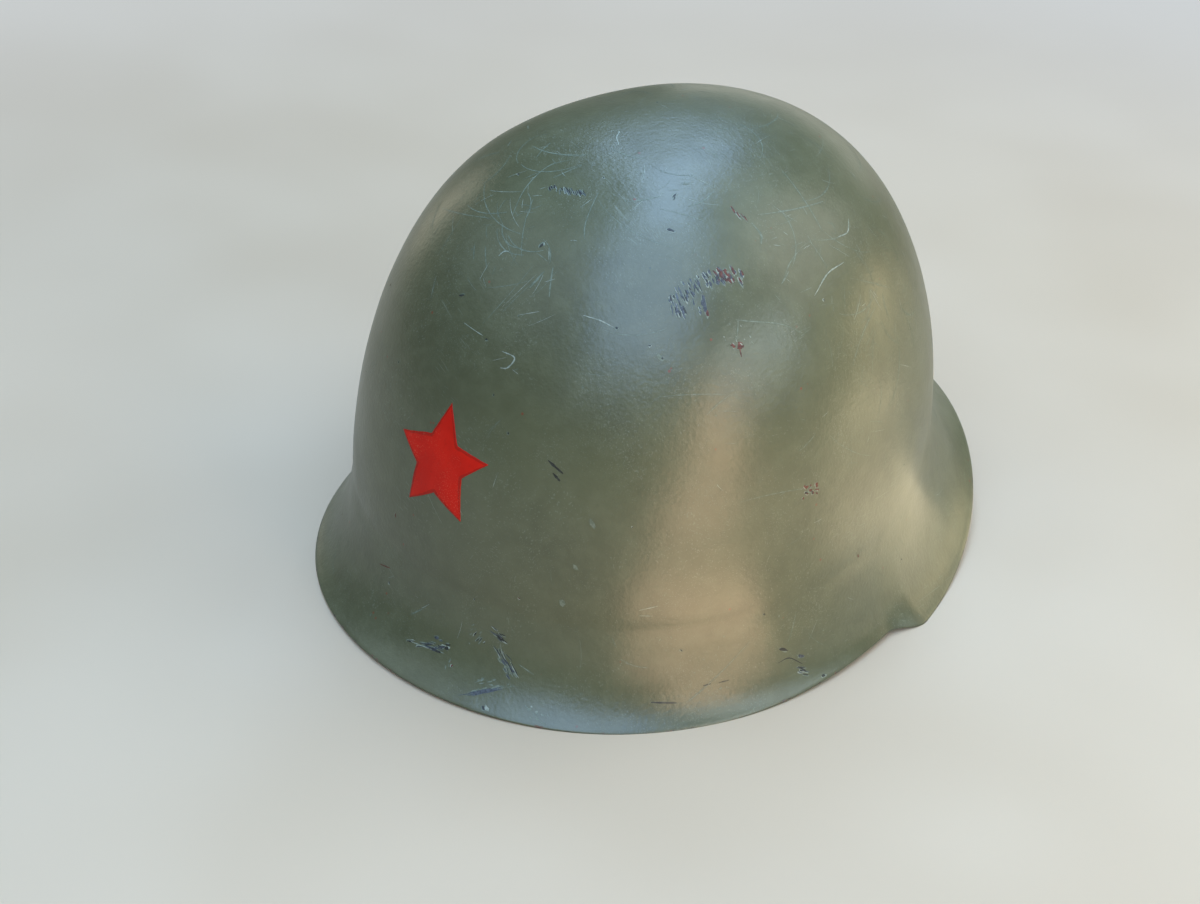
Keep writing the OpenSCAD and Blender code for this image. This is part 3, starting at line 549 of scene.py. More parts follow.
SHELL_OUT = shell_paint()
SHELL_IN = inner_paint()
STAR = star_paint()
LINER = liner_paint()
STEEL = bare_steel()
BAND = leather("band_leather", (74, 46, 28), (104, 68, 42), (138, 98, 66), 0.8, 0.5)
TONGUE = leather("tongue_leather", (92, 62, 40), (124, 88, 58), (156, 120, 86), 0.9, 0.52)
STRAP = leather("strap_leather", (58, 36, 22), (86, 55, 34), (116, 80, 54), 1.0, 0.44)
FELT = fibre("pad_felt", (104, 100, 92), (158, 152, 140), 0.5, 0.3, 0.4)
COTTON = fibre("lace_cotton", (150, 140, 116), (202, 194, 170), 0.3, 0.12, 0.3)
THREAD = fibre("stitch_thread", (150, 132, 96), (198, 182, 146), 0.25, 0.05, 0.2)
MARKS = [
    mark_finish("mark_faint", (106, 116, 100), (86, 95, 78), 1.4, 0.5),
    mark_finish("mark_pale", (140, 148, 134), (112, 121, 106), 1.6, 0.5),
    mark_finish("mark_dark", (30, 32, 29), (47, 50, 44), 1.5, 0.5),
    mark_finish("mark_steel", (72, 79, 84), (44, 49, 53), 1.1, 0.42),
    mark_finish("mark_rust", (98, 50, 38), (62, 38, 32), 0.9, 0.6),
]
FAINT, PALE, DARK, BLUE, BROWN = range(5)
CHIPPED = (DARK, BLUE, BROWN)


# Shell

DOME_ROWS, FLARE_ROWS, EDGE_ROWS = 100, 38, 6
COLUMN, FINE_COLUMN, STEP_REACH = 1.5, 0.5, 6
SAMPLES, SAMPLED_ANGLE = 4000, 60.0
EDGE_ROUND = 0.35


def shell_rows(count, low, high):
    """Shares from low to high at even distances down the surface."""
    fine = np.linspace(low, high, SAMPLES)
    steps = np.linalg.norm(np.diff(outer(SAMPLED_ANGLE, fine), axis=0), axis=1)
    length = np.concatenate([[0], np.cumsum(steps)])
    return np.interp(np.linspace(0, length[-1], count + 1), length, fine)


def shell_columns():
    """Angles round the shell, closer together at the two steps behind the ears."""
    near, far = STEP_FROM - STEP_REACH, STEP_TO + STEP_REACH
    half = [a for a in np.arange(0, 180, COLUMN) if not near < a < far]
    half += list(np.arange(near, far + 0.1, FINE_COLUMN))
    half = sorted(a for a in half if 0 < a < 180)
    return np.array([0.0] + half + [180.0] + [360 - a for a in reversed(half)])


def rim_distance(points):
    """Distance from each row of a grid to its last row, down the columns, in mm."""
    steps = np.linalg.norm(np.diff(points, axis=0), axis=-1) / MM
    down = np.concatenate([np.zeros((1, points.shape[1])), np.cumsum(steps, axis=0)])
    return down[-1] - down


def rounded_edge(out, back):
    """Rows that round the rim from the outside's last row to the inside's."""
    reach = out[-1] - out[-2]
    reach /= np.linalg.norm(reach, axis=1, keepdims=True)
    t = np.linspace(0, math.pi, EDGE_ROWS + 2)[1:-1, None, None]
    across = (back[-1] - out[-1]) * (1 - np.cos(t)) / 2
    return out[-1] + across + reach * np.sin(t) * EDGE_ROUND * SHEET_T * MM


def shell_faces(rows, cols):
    """Faces of a grid round the shell, closed by fans to one last point outside and one inside."""
    faces = grid_faces(rows, cols)
    top, under, last = rows * cols, rows * cols + 1, (rows - 1) * cols
    for j in range(cols):
        faces.append((top, (j + 1) % cols, j))
        faces.append((under, last + j, last + (j + 1) % cols))
    return faces


def make_shell():
    angles = shell_columns()
    shares = np.concatenate([shell_rows(DOME_ROWS, 0, 1), shell_rows(FLARE_ROWS, 1, 2)[1:]])[1:]
    a, v = np.meshgrid(angles, shares)
    out, back = skin(a, v), skin(a, v, -SHEET_T, outside=False)
    rows = np.concatenate([out, rounded_edge(out, back), back[::-1]])
    tops = [skin(0.0, 0.0), skin(0.0, 0.0, -SHEET_T, outside=False)]
    points = np.concatenate([rows.reshape(-1, 3), tops])
    points[:, 2] = np.maximum(points[:, 2], 0)
    cols = len(angles)
    faces = shell_faces(len(rows), cols)
    obj = new_object("shell", points, faces, "helmet", "shell_paint", [SHELL_OUT, SHELL_IN])
    inside = (len(out) + EDGE_ROWS) * cols
    index = [int(min(f.vertices) >= inside) for f in obj.data.polygons]
    index[-2 * cols:] = [0, 1] * cols
    obj.data.polygons.foreach_set("material_index", index)
    far = rim_distance(out)
    distance = np.concatenate([far, np.zeros((EDGE_ROWS, cols)), far[::-1]]).ravel()
    set_points(obj, "rim_distance", [*distance, far.max(), far.max()])
    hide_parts("steel_shell")


# Star

STAR_RINGS, EDGE_POINTS, SEARCHES = 26, 20, 7
RAGGED, RAGGED_SIZE = 0.22, 3.0
# The coat of paint is thinner at its edge, then turns down into the surface a little further out
EDGE_THIN, EDGE_OUT, EDGE_SINK = 0.8, 1.002, -0.05
ARM_SHARE, MIDDLE_SHARE = 0.45, 0.4


def front_place(x, z):
    """Angle and share of the dome's point with that x and z in the dome's own frame, in mm."""
    a = np.zeros_like(x)
    for _ in range(SEARCHES):
        waist = waist_z(fold(a))
        v = 1 - np.degrees(np.arcsin(((z - waist) / (CROWN_H - waist)) ** (fullness(a) / 2))) / 90
        k = np.cos(np.radians(90 * (1 - v))) ** (2 / crown(a))
        a = np.degrees(np.arcsin(power(x / (HALF_WIDTH * k), PLAN_POWER / 2)))
    return a, v


def star_corners():
    corners = []
    for k, (reach, off) in enumerate(STAR_CORNERS):
        r = STAR_R * reach
        b = math.radians(90 - STAR_TURN + 360 / len(STAR_CORNERS) * k + off)
        corners.append((r * math.cos(b), r * math.sin(b)))
    return np.array(corners)


def star_outline():
    """Points round the star's edge about its middle, in mm, slightly ragged as painted by hand."""
    corners, points = star_corners(), []
    for start, end in zip(corners, np.roll(corners, -1, axis=0)):
        for i in range(EDGE_POINTS):
            q = start + (end - start) * i / EDGE_POINTS
            n = lump(q[0] / RAGGED_SIZE, q[1] / RAGGED_SIZE, 0) + 0.5 * lump(q[0], q[1], 5)
            points.append(q * (1 + RAGGED * n / np.linalg.norm(q)))
    return np.array(points)


def make_star():
    """A thin coat of paint that follows the dome, with a soft edge sunk into it."""
    edge = star_outline()
    shares = np.linspace(0, 1, STAR_RINGS + 1)[1:]
    flat = np.concatenate([edge * s for s in shares] + [edge * EDGE_OUT])
    a, v = front_place(STAR_X + flat[:, 0], STAR_Z + flat[:, 1])
    lift = np.full(len(flat), PAINT_T)
    lift[-2 * len(edge):-len(edge)] = PAINT_T * EDGE_THIN
    lift[-len(edge):] = EDGE_SINK
    middle_a, middle_v = front_place(np.array([STAR_X]), np.array([STAR_Z]))
    points = np.concatenate([skin(a, v, lift), skin(middle_a, middle_v, PAINT_T)])
    cols = len(edge)
    faces = grid_faces(STAR_RINGS + 1, cols)
    faces += [(len(points) - 1, (j + 1) % cols, j) for j in range(cols)]
    obj = new_object("star", points, faces, "helmet", "star_paint", [STAR], closed=False)
    wide = np.linalg.norm(edge, axis=1) * ARM_SHARE
    distance = [(1 - s) * wide for s in shares] + [0 * wide, [STAR_R * MIDDLE_SHARE]]
    set_points(obj, "edge_distance", np.concatenate(distance))
    if sum((p.normal for p in obj.data.polygons), Vector()).y > 0:
        obj.data.flip_normals()
    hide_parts("star_emblem")


# Wear marks on the paint: strokes and flecks, all lying on the surface

MARK_LIFT, CHIP_LIFT, TORN_EDGE = 0.04, 0.02, 0.16
METRIC_STEP, FIRST, LAST = 0.02, 0.001, 1.999
BLUNT_END, TAPER = 0.08, 0.6
LEAST_CORNERS, CORNERS_A_MM = 7, 2.5
CHIP_LENGTH, CHIP_WIDTH, CHIP_TURN, CHIP_NEAREST = (0.5, 1.3), (0.6, 1.3), 8, 0.05


def steps_on(a, v):
    """Metres a degree round the shell and metres a share down it, at a place."""
    p, e = stand(outer(a, v)), METRIC_STEP
    round_ = stand(outer(a + e, v)) / e - p / e
    down = stand(outer(a, np.minimum(v + e, 2))) / e - p / e
    return np.linalg.norm(round_), np.linalg.norm(down)


def walk(a, v, heading, length, count=7, bend=0.0):
    """Places along a line on the surface. Heading is in degrees from round-the-shell towards the rim."""
    places = [(a, v)]
    step = length * MM / (count - 1)
    for i in range(count - 1):
        round_, down = steps_on(a, v)
        h = math.radians(heading + bend * i / (count - 1))
        a += step * math.cos(h) / round_
        v += step * math.sin(h) / down
        places.append((a, v))
    return places


def through(places, per_part=6):
    """A smooth curve through (angle, share) places."""
    p = np.array(places, float)
    p = np.concatenate([[2 * p[0] - p[1]], p, [2 * p[-1] - p[-2]]])
    curve = []
    for before, start, end, after in zip(p, p[1:], p[2:], p[3:]):
        slope = end - before
        curl = 2 * before - 5 * start + 4 * end - after
        twist = 3 * start - before - 3 * end + after
        for t in np.linspace(0, 1, per_part, endpoint=False):
            curve.append(0.5 * (2 * start + slope * t + curl * t * t + twist * t ** 3))
    return [*curve, p[-2]]


class Marks:
    """Collects marks for one mesh."""

    def __init__(self, seed):
        self.points, self.faces, self.kinds = [], [], []
        self.random = random.Random(seed)

    def stroke(self, places, width, kind, ragged=0.25):
        """A ribbon along places, of width mm, thinner at its ends."""
        a, v = np.array(places).T
        middle, up = skin(a, v, MARK_LIFT), stand(normal(a, v)) - stand(np.zeros(3))
        side = np.cross(up, np.gradient(middle, axis=0))
        side /= np.linalg.norm(side, axis=1, keepdims=True)
        share = np.linspace(BLUNT_END, 1 - BLUNT_END, len(a))
        half = width / 2 * MM * np.sin(math.pi * share) ** TAPER
        half *= [1 + self.random.uniform(-ragged, ragged) for _ in share]
        start = len(self.points)
        for i in range(len(a)):
            self.points += [middle[i] - side[i] * half[i], middle[i] + side[i] * half[i]]
        for k in range(start, start + 2 * len(a) - 2, 2):
            self.faces.append((k, k + 2, k + 3, k + 1))
            self.kinds.append(kind)

    def fleck(self, a, v, long, wide, heading, kind, ragged=0.3, lift=MARK_LIFT):
        """An irregular flake, long by wide mm, turned to heading."""
        count = max(LEAST_CORNERS, int(CORNERS_A_MM * long))
        round_, down = steps_on(a, v)
        h = math.radians(heading)
        offsets = []
        for t in turns(count):
            r = 1 + self.random.uniform(-ragged, ragged)
            x, y = long / 2 * math.cos(t) * r, wide / 2 * math.sin(t) * r
            offsets.append((x * math.cos(h) - y * math.sin(h), x * math.sin(h) + y * math.cos(h)))
        offsets = np.array(offsets) * MM
        ring_v = np.clip(v + offsets[:, 1] / down, FIRST, LAST)
        ring = skin(a + offsets[:, 0] / round_, ring_v, lift)
        start = len(self.points)
        self.points += [skin(a, v, lift), *ring]
        for i in range(count):
            self.faces.append((start, start + 1 + i, start + 1 + (i + 1) % count))
            self.kinds.append(kind)

    def line(self, places, width, kind):
        """A stroke along a smooth curve through (angle, share) places."""
        self.stroke(through(places), width, kind, ragged=0.35)

    def chip(self, a, v, long, wide, heading, kind, ragged=0.4):
        """A flake with a thin pale edge of torn paint showing on one side."""
        if kind in CHIPPED:
            edge_a, edge_v = walk(a, v, heading + 90, TORN_EDGE, 2)[-1]
            torn = self.random.choice([FAINT, FAINT, PALE])
            self.fleck(edge_a, edge_v, long + 2 * TORN_EDGE, wide + 2 * TORN_EDGE, heading, torn, ragged)
        self.fleck(a, v, long, wide, heading, kind, ragged, MARK_LIFT + CHIP_LIFT)

    def scatter(self, path, count, across, long, wide, heading, kinds):
        """Chips, all turned about one way, loosely spread along a path and across it by a few mm."""
        path = np.array(path, float)
        for _ in range(count):
            t = self.random.uniform(0, len(path) - 1)
            k = min(int(t), len(path) - 2)
            a, v = path[k] + (path[k + 1] - path[k]) * (t - k)
            round_, down = (path[k + 1] - path[k]) * steps_on(a, v)
            aside = math.degrees(math.atan2(down, round_)) + self.random.choice([90, -90])
            a, v = walk(a, v, aside, self.random.uniform(CHIP_NEAREST, across), 2)[-1]
            length = long * self.random.uniform(*CHIP_LENGTH)
            turn = heading + self.random.gauss(0, CHIP_TURN)
            width = wide * self.random.uniform(*CHIP_WIDTH)
            self.chip(a, v, length, width, turn, self.random.choice(kinds))

    def build(self, name):
        obj = new_object(name, self.points, self.faces, "helmet", "shell_paint", MARKS, closed=False)
        obj.data.polygons.foreach_set("material_index", self.kinds)
        obj.data.update()


# Scattered flakes: path of (angle, share) places, number, spread across, length, width, heading, kinds
LONG_ARC = [(54, 0.368), (57.5, 0.346), (62.5, 0.335), (67.5, 0.33), (71, 0.331)]
ARC_START, ARC_END = [(54, 0.37), (57.5, 0.39)], [(68, 0.33), (72, 0.333), (76, 0.347)]
SCATTERS = [
    ([(-9.5, 0.172), (10, 0.15)], 30, 0.9, 2.3, 0.34, 32, [DARK, BLUE, DARK]),
    ([(-12.5, 0.176), (-10.5, 0.17)], 4, 0.8, 1.8, 0.6, 32, [DARK]),
    (LONG_ARC, 74, 2.5, 2.2, 0.5, 78, [BLUE, BLUE, DARK, DARK, BLUE]),
    (ARC_END, 30, 2.3, 2.3, 0.95, 84, [BROWN, BROWN, BROWN, BLUE]),
    (ARC_START, 13, 1.6, 2.8, 0.7, 74, [BLUE, BLUE, DARK]),
    ([(60, 0.368), (61.5, 0.392)], 4, 0.8, 1.6, 0.5, 84, [BLUE]),
    ([(16, 1.22), (18.5, 1.35)], 11, 1.5, 3.6, 0.5, 28, [DARK, DARK, BLUE]),
    ([(17.5, 1.416), (21, 1.611)], 13, 1.9, 4.0, 0.36, 44, [DARK, BLUE, DARK]),
    ([(18.5, 1.52), (21.5, 1.64)], 12, 1.9, 3.0, 0.8, 44, [FAINT, BLUE]),
    ([(11.5, 1.34), (15, 1.4)], 10, 2.2, 1.7, 0.42, 120, [DARK, FAINT, DARK]),
    ([(0, 1.7), (4, 1.68), (7.5, 1.64)], 15, 1.7, 3.8, 0.45, 166, [DARK, BLUE, DARK]),
    ([(4, 1.62), (8, 1.6)], 6, 1.6, 2.0, 0.9, 172, [DARK, BLUE]),
    ([(9, 1.7), (10.5, 1.75)], 5, 2.5, 1.2, 0.6, 60, [BROWN, FAINT]),
    ([(15.5, 1.81), (21, 1.69)], 16, 2.2, 2.2, 0.5, 152, [FAINT]),
    ([(74.5, 1.764), (76, 1.838)], 8, 1.2, 3.2, 0.5, 34, [DARK, BLUE]),
    ([(24, 1.88), (29, 1.93)], 16, 2.0, 1.3, 0.5, 40, [PALE, FAINT, FAINT]),
    ([(78, 0.779), (81.5, 0.787)], 18, 2.3, 1.3, 0.9, 60, [BROWN, BROWN, BROWN, DARK]),
    ([(67.5, 0.468), (70, 0.472)], 6, 0.8, 1.3, 0.9, 20, [BROWN]),
    ([(66, 0.44), (73, 0.46)], 14, 3.2, 1.0, 0.35, 60, [FAINT, PALE]),
]
# Curved or straight scratches: places as (angle, share), width, kind
LINES = [
    ([(28.5, 0.388), (33.5, 0.394), (37.5, 0.405)], 0.4, PALE), ([(-6, 0.47), (1, 0.473)], 0.3, PALE),
    ([(-89.5, 0.031), (-96.5, 0.02), (-60, 0.015), (-30, 0.02), (-38.5, 0.031)], 0.4, PALE),
    ([(-15.5, 0.258), (-25, 0.196), (-31.5, 0.136), (-28, 0.102)], 0.45, FAINT),
    ([(-18.5, 0.153), (-14.5, 0.099)], 0.4, FAINT), ([(-44.5, 0.15), (-58, 0.119)], 0.5, FAINT),
    ([(22, 0.246), (19.5, 0.213), (18, 0.142)], 0.4, FAINT), ([(9, 0.363), (11.5, 0.326)], 0.8, FAINT),
    ([(16.5, 0.368), (14, 0.314)], 0.5, FAINT), ([(-19.5, 0.347), (-15.5, 0.368)], 0.35, FAINT),
    ([(-15, 0.336), (-8.5, 0.368)], 0.35, FAINT), ([(-7.5, 0.337), (-6.8, 0.325), (-5, 0.32)], 0.5, PALE),
    ([(89, 0.255), (89, 0.286), (87, 0.303)], 0.7, FAINT), ([(101, 0.351), (100.5, 0.425)], 0.3, FAINT),
    ([(118, 0.399), (114, 0.411), (110, 0.399)], 0.4, PALE),
    ([(106, 0.442), (99.5, 0.433), (93, 0.45)], 0.45, PALE),
    ([(90, 0.38), (86, 0.394)], 0.5, FAINT), ([(70, 0.422), (80.5, 0.459), (86, 0.498)], 0.35, FAINT),
    ([(70.5, 0.425), (69, 0.456)], 0.35, FAINT), ([(25, 0.646), (28.5, 0.666)], 0.85, DARK),
    ([(26.3, 0.667), (28, 0.68)], 0.8, DARK), ([(46, 1.727), (50.5, 1.75)], 0.6, DARK),
    ([(55.5, 1.622), (57, 1.614)], 0.4, DARK), ([(58.5, 1.62), (60.5, 1.617)], 0.45, DARK),
    ([(-13.5, 1.311), (-10, 1.252)], 0.45, BROWN), ([(0.5, 1.727), (7.5, 1.672)], 0.35, PALE),
    ([(70.5, 1.605), (73, 1.603), (75.5, 1.724)], 0.35, DARK), ([(22, 1.523), (25, 1.58)], 0.35, FAINT),
    ([(26, 1.894), (27.5, 1.95), (29, 1.985)], 0.3, FAINT), ([(-1.5, 1.518), (1, 1.379)], 0.5, FAINT),
    ([(44, 0.94), (47.5, 0.932)], 0.35, PALE), ([(44, 0.954), (46.5, 0.957)], 0.3, PALE),
    ([(8, 0.484), (12, 0.487), (11, 0.507), (9, 0.512)], 0.45, PALE),
    ([(69, 0.478), (69, 0.492)], 0.5, BROWN),
]
# Flakes: angle, share, length, width, heading, kind
FLECKS = [
    (86.6, 0.212, 3.4, 0.9, 98, BROWN), (86.9, 0.226, 3.4, 0.85, 98, BROWN),
    (88.2, 0.24, 2.9, 0.8, 98, BROWN),
    (62.6, 0.375, 5.2, 1.5, 94, BLUE), (62.9, 0.396, 2.4, 1.0, 94, BROWN), (88.0, 0.232, 1.6, 0.5, 98, BROWN),
    (66.5, 0.136, 1.9, 0.6, 150, DARK), (65.5, 0.142, 1.6, 0.5, 130, DARK), (58.0, 0.215, 2.8, 0.9, 30, DARK),
    (14.5, 0.105, 0.9, 0.7, 0, DARK), (-36.5, 0.196, 0.9, 0.6, 0, DARK), (5.5, 0.283, 2.1, 0.8, 110, DARK),
    (6.3, 0.279, 1.0, 0.6, 60, PALE), (-11.5, 0.433, 2.4, 0.7, 150, DARK), (2.5, 0.476, 1.0, 0.6, 0, DARK),
    (38.3, 0.406, 0.9, 0.7, 0, DARK), (47.0, 0.439, 0.8, 0.6, 0, DARK), (49.5, 0.464, 2.6, 1.6, 60, FAINT),
    (50.0, 0.464, 0.9, 0.5, 40, DARK), (69.0, 0.473, 1.9, 1.6, 0, BROWN), (79.6, 0.782, 1.9, 1.3, 20, BROWN),
    (-10.0, 0.889, 1.6, 0.7, 80, BROWN), (35.0, 0.753, 3.4, 1.6, 70, FAINT),
    (29.5, 0.932, 3.0, 2.0, 120, FAINT),
    (32.0, 0.844, 2.6, 1.4, 40, FAINT), (17.0, 1.84, 13.0, 1.3, 152, BLUE), (18.0, 1.959, 1.6, 1.1, 40, DARK),
    (18.5, 1.955, 2.2, 1.5, 40, PALE), (72.0, 1.489, 3.8, 1.1, 34, DARK), (75.5, 1.637, 3.6, 1.3, 30, BLUE),
    (79.0, 1.954, 1.8, 0.9, 0, DARK),
]
MARK_SEED = 11
ARCS, SCRATCHES, SPECKS = 72, 290, 100
# Places, as angle and share, round which most of the scratches lie, and how far they spread
RUBBED = [(98, 0.32), (104, 0.45), (112, 0.56), (94, 0.68), (5, 0.3), (-25, 0.2), (62, 0.12), (230, 0.5)]
RUBBED_ANGLE, RUBBED_SHARE = 9, 0.08
ARC_LENGTH, ARC_BEND, ARC_WIDTH = (8, 34), (-75, 75), (0.2, 0.45)
HEADINGS, HEADING_SPREAD, SCRATCH_WIDTH = [20, 65, 115, 160], 22, (0.1, 0.22)
LONGEST, SHORTEST, MEAN_LENGTH = 16, 2, 4
SPECK_LENGTH, SPECK_WIDTH = (0.4, 1.3), (0.3, 0.7)
# Marks anywhere on the shell: first share, span of shares, and a power that draws them up, or down if below 1
SCRATCH_SHARES, SPECK_SHARES = (0.06, 1.5, 1.3), (0.08, 1.85, 0.75)


def anywhere(r, first, span, gathered):
    return r.uniform(0, 360), first + span * r.random() ** gathered


def rubbed_place(r):
    """Half of the time a place near one of RUBBED, otherwise anywhere."""
    if r.random() < 0.5:
        a, v = r.choice(RUBBED)
        return a + r.gauss(0, RUBBED_ANGLE), abs(v + r.gauss(0, RUBBED_SHARE))
    return anywhere(r, *SCRATCH_SHARES)


def within(places, low, high):
    return all(low < v < high for _, v in places)


def long_scratches(marks):
    """Faint curved scratches, most of them in the rubbed places."""
    r = marks.random
    for _ in range(ARCS):
        a, v = rubbed_place(r)
        places = walk(a, v, r.uniform(0, 180), r.uniform(*ARC_LENGTH), 12, r.uniform(*ARC_BEND))
        if within(places, 0.03, 1.9):
            marks.stroke(places, r.uniform(*ARC_WIDTH), FAINT, ragged=0.4)


def short_scratches(marks):
    """Fine scratches, some in loose pairs, most of them in the rubbed places."""
    r = marks.random
    for _ in range(SCRATCHES):
        a, v = rubbed_place(r)
        heading = r.choice(HEADINGS) + r.gauss(0, HEADING_SPREAD)
        long = min(SHORTEST + r.expovariate(1 / MEAN_LENGTH), LONGEST)
        for _ in range(r.choice([1, 1, 1, 2])):
            kind = r.choice([PALE, FAINT, FAINT])
            near_a, near_v = a + r.gauss(0, 1.2), v + r.gauss(0, 0.01)
            places = walk(near_a, near_v, heading + r.gauss(0, 4), long, 8, r.gauss(0, 14))
            if within(places, 0.02, 1.95):
                marks.stroke(places, r.uniform(*SCRATCH_WIDTH), kind, ragged=0.3)


def random_specks(marks):
    """Small chips, more of them towards the rim."""
    r = marks.random
    for _ in range(SPECKS):
        a, v = anywhere(r, *SPECK_SHARES)
        kind = r.choices([FAINT, DARK, BROWN, BLUE], [5, 3, 1, 1])[0]
        marks.chip(a, v, r.uniform(*SPECK_LENGTH), r.uniform(*SPECK_WIDTH), r.uniform(0, 180), kind)


def make_marks():
    marks = Marks(MARK_SEED)
    for scattered in SCATTERS:
        marks.scatter(*scattered)
    for drawn in LINES:
        marks.line(*drawn)
    for flake in FLECKS:
        marks.chip(*flake)
    long_scratches(marks)
    short_scratches(marks)
    random_specks(marks)
    marks.build("paint_wear")


make_shell()
make_star()
make_marks()


# Liner: felt pads, sweatband, crown tongues and lace

def swept(profile, angles, closed, ripple):
    """Points of a closed (inset, height) profile carried round the plan, shaped at each angle by ripple."""
    rows = []
    for a in angles:
        r = ripple(a, profile)
        x, y = plan(np.full(len(r), a), r[:, 0])
        rows.append(stand(np.stack([x, y, r[:, 1]], -1)))
    faces = grid_faces(len(rows), len(profile), True, closed)
    if not closed:
        faces += [face[::-1] for face in end_faces(len(rows), len(profile))]
    return np.concatenate(rows), faces


def rounded_box(low, high, radius, per_corner=4):
    """Closed outline of a rounded rectangle between two corners."""
    left, right, bottom, top = low[0] + radius, high[0] - radius, low[1] + radius, high[1] - radius
    middles = ((right, top), (left, top), (left, bottom), (right, bottom))
    points = []
    for k, (x, y) in enumerate(middles):
        points += arc(x, y, radius, 90 * k, 90 * k + 90, per_corner)
    return np.array(points)


PAD_EDGE, PAD_COLUMNS, PAD_TIP = 1.3, 90, 0.3
PAD_DRAWN, PAD_DRAWN_OVER, PAD_LUMPS = 0.22, 2.2, 0.03


def make_pad(name, node, start, end):
    """Felt pad between hoop and sweatband: soft edges, drawn in towards its ends, slightly lumpy."""
    profile = rounded_box((PAD_OUT, HOOP_Z + 1), (PAD_OUT + PAD_T, HOOP_Z + HOOP_H - 1), PAD_EDGE, 5)
    middle = profile.mean(0)

    def ripple(a, outline):
        near = min(a - start, end - a)
        size = 1 - PAD_DRAWN * (1 - ease(0, PAD_DRAWN_OVER, near))
        lumps = np.array([lump(a / 3, z / 4, inset) for inset, z in outline])
        return middle + (outline - middle) * (size - PAD_LUMPS + PAD_LUMPS * lumps)[:, None]

    angles = np.linspace(start + PAD_TIP, end - PAD_TIP, PAD_COLUMNS)
    obj = new_object(name, *swept(profile, angles, False, ripple), "helmet", "pad_felt", [FELT])
    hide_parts(node)


STITCH_PITCH, STITCH_L, STITCH_D = 3.4, 1.9, 0.5
STITCH_RINGS, STITCH_SIDES, STITCH_TAPER, STITCH_BOW = 5, 6, 0.86, 0.16


def stitches(name, places, body, lift=0.14):
    """Thread stitches as (point, direction, normal) places, each a short rounded bead sunk in the leather."""
    points, faces = [], []
    for p, along, up in places:
        p, along, up = Vector(p), Vector(along).normalized(), Vector(up).normalized()
        side = along.cross(up)
        start = len(points)
        for s in np.linspace(-1, 1, STITCH_RINGS):
            r = STITCH_D / 2 * math.sqrt(1 - STITCH_TAPER * s * s) * MM
            middle = p + along * (s * STITCH_L / 2 * MM) + up * ((lift - STITCH_BOW * s * s) * MM)
            for t in turns(STITCH_SIDES):
                points.append(middle + side * (r * math.cos(t)) + up * (r * math.sin(t)))
        faces += grid_faces(STITCH_RINGS, STITCH_SIDES, start=start)
        faces += end_faces(STITCH_RINGS, STITCH_SIDES, start)
    new_object(name, points, faces, body, "lace_cotton", [THREAD])


FOOT_R, BAND_LENGTH = 1.4, 580


def band_profile():
    """Sweatband's outline: wall, turned-out foot and lip, with rounded edges."""
    wall_in, r, foot = BAND_OUT + LEATHER_T, LEATHER_T / 2, BAND_FOOT + FOOT_R
    wall = [(wall_in, z) for z in np.linspace(BAND_FOOT + 4, BAND_TOP - 4, 9)]
    top = arc(wall_in - r, BAND_TOP - r, r, 0, 180, 6)
    back = [(BAND_OUT, z) for z in np.linspace(BAND_TOP - 4, BAND_FOOT + LEATHER_T + 1, 7)]
    crease = [(BAND_OUT, BAND_FOOT + LEATHER_T), (LIP_OUT + LEATHER_T, BAND_FOOT + LEATHER_T)]
    lip = arc(LIP_OUT + r, LIP_TOP - r, r, 0, 180, 6)
    outer_foot = arc(LIP_OUT + FOOT_R, foot, FOOT_R, 180, 270, 4)
    inner_foot = arc(wall_in - FOOT_R, foot, FOOT_R, -90, 0, 4)
    return np.array(wall + top + back + crease + lip + outer_foot + inner_foot)


def band_stitches():
    """A row of stitches near each edge of the sweatband."""
    count, rows = int(BAND_LENGTH / STITCH_PITCH), []
    for z in (BAND_TOP - 2.6, BAND_FOOT + 3.6):
        for i in range(count):
            a = 360.0 * i / count + np.array([-0.2, 0.0, 0.2])
            x, y = plan(a, BAND_OUT + LEATHER_T + 0.3)
            p = stand(np.stack([x, y, np.full(3, z)], -1))
            rows.append((p[1], p[2] - p[0], stand(np.array([0, LINER_Y, z])) - p[1]))
    stitches("sweatband_stitches", rows, "helmet")


def make_sweatband():
    """Leather band whose inner face is slightly rippled."""
    def ripple(a, outline):
        turn = math.radians(a)
        wave = lump(math.cos(turn) * 4, math.sin(turn) * 4, 2)
        inner = ease(BAND_OUT + LEATHER_T - 0.4, BAND_OUT + LEATHER_T, outline[:, 0])
        return outline + np.stack([inner * (0.25 + 0.25 * wave), np.zeros(len(outline))], -1)

    points, faces = swept(band_profile(), np.arange(0, 360, COLUMN), True, ripple)
    obj = new_object("sweatband", points, faces, "helmet", "band_leather", [BAND])
    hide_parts("sweatband")
    band_stitches()


TONGUE_ROWS, TONGUE_COLS, FOOT_ROWS = 34, 20, 4
TONGUE_SAG, TONGUE_EDGE = 0.5, 0.35


def tongue_half(t):
    """Half of a tongue's angle at share t."""
    return TONGUE_HALF + (LOOP_HALF - TONGUE_HALF) * t


def tongue_point(a, t, depth):
    """Point of a crown tongue: t is 0 at the sweatband's upper edge and 1 at the lace."""
    x, y = plan(a, TONGUE_INSET + depth * (1 - t))
    dx, dy = x, y - LINER_Y
    end = (LACE_R + LOOP_R + LOOP_WALL / 2) / np.hypot(dx, dy)
    k = end + (1 - end) * np.cos(np.radians(90 * t))
    z = BAND_TOP + (LACE_Z - BAND_TOP) * np.sin(np.radians(90 * t)) + (LEATHER_T / 2 - depth) * t
    return np.stack([dx * k, LINER_Y + dy * k, z], -1)


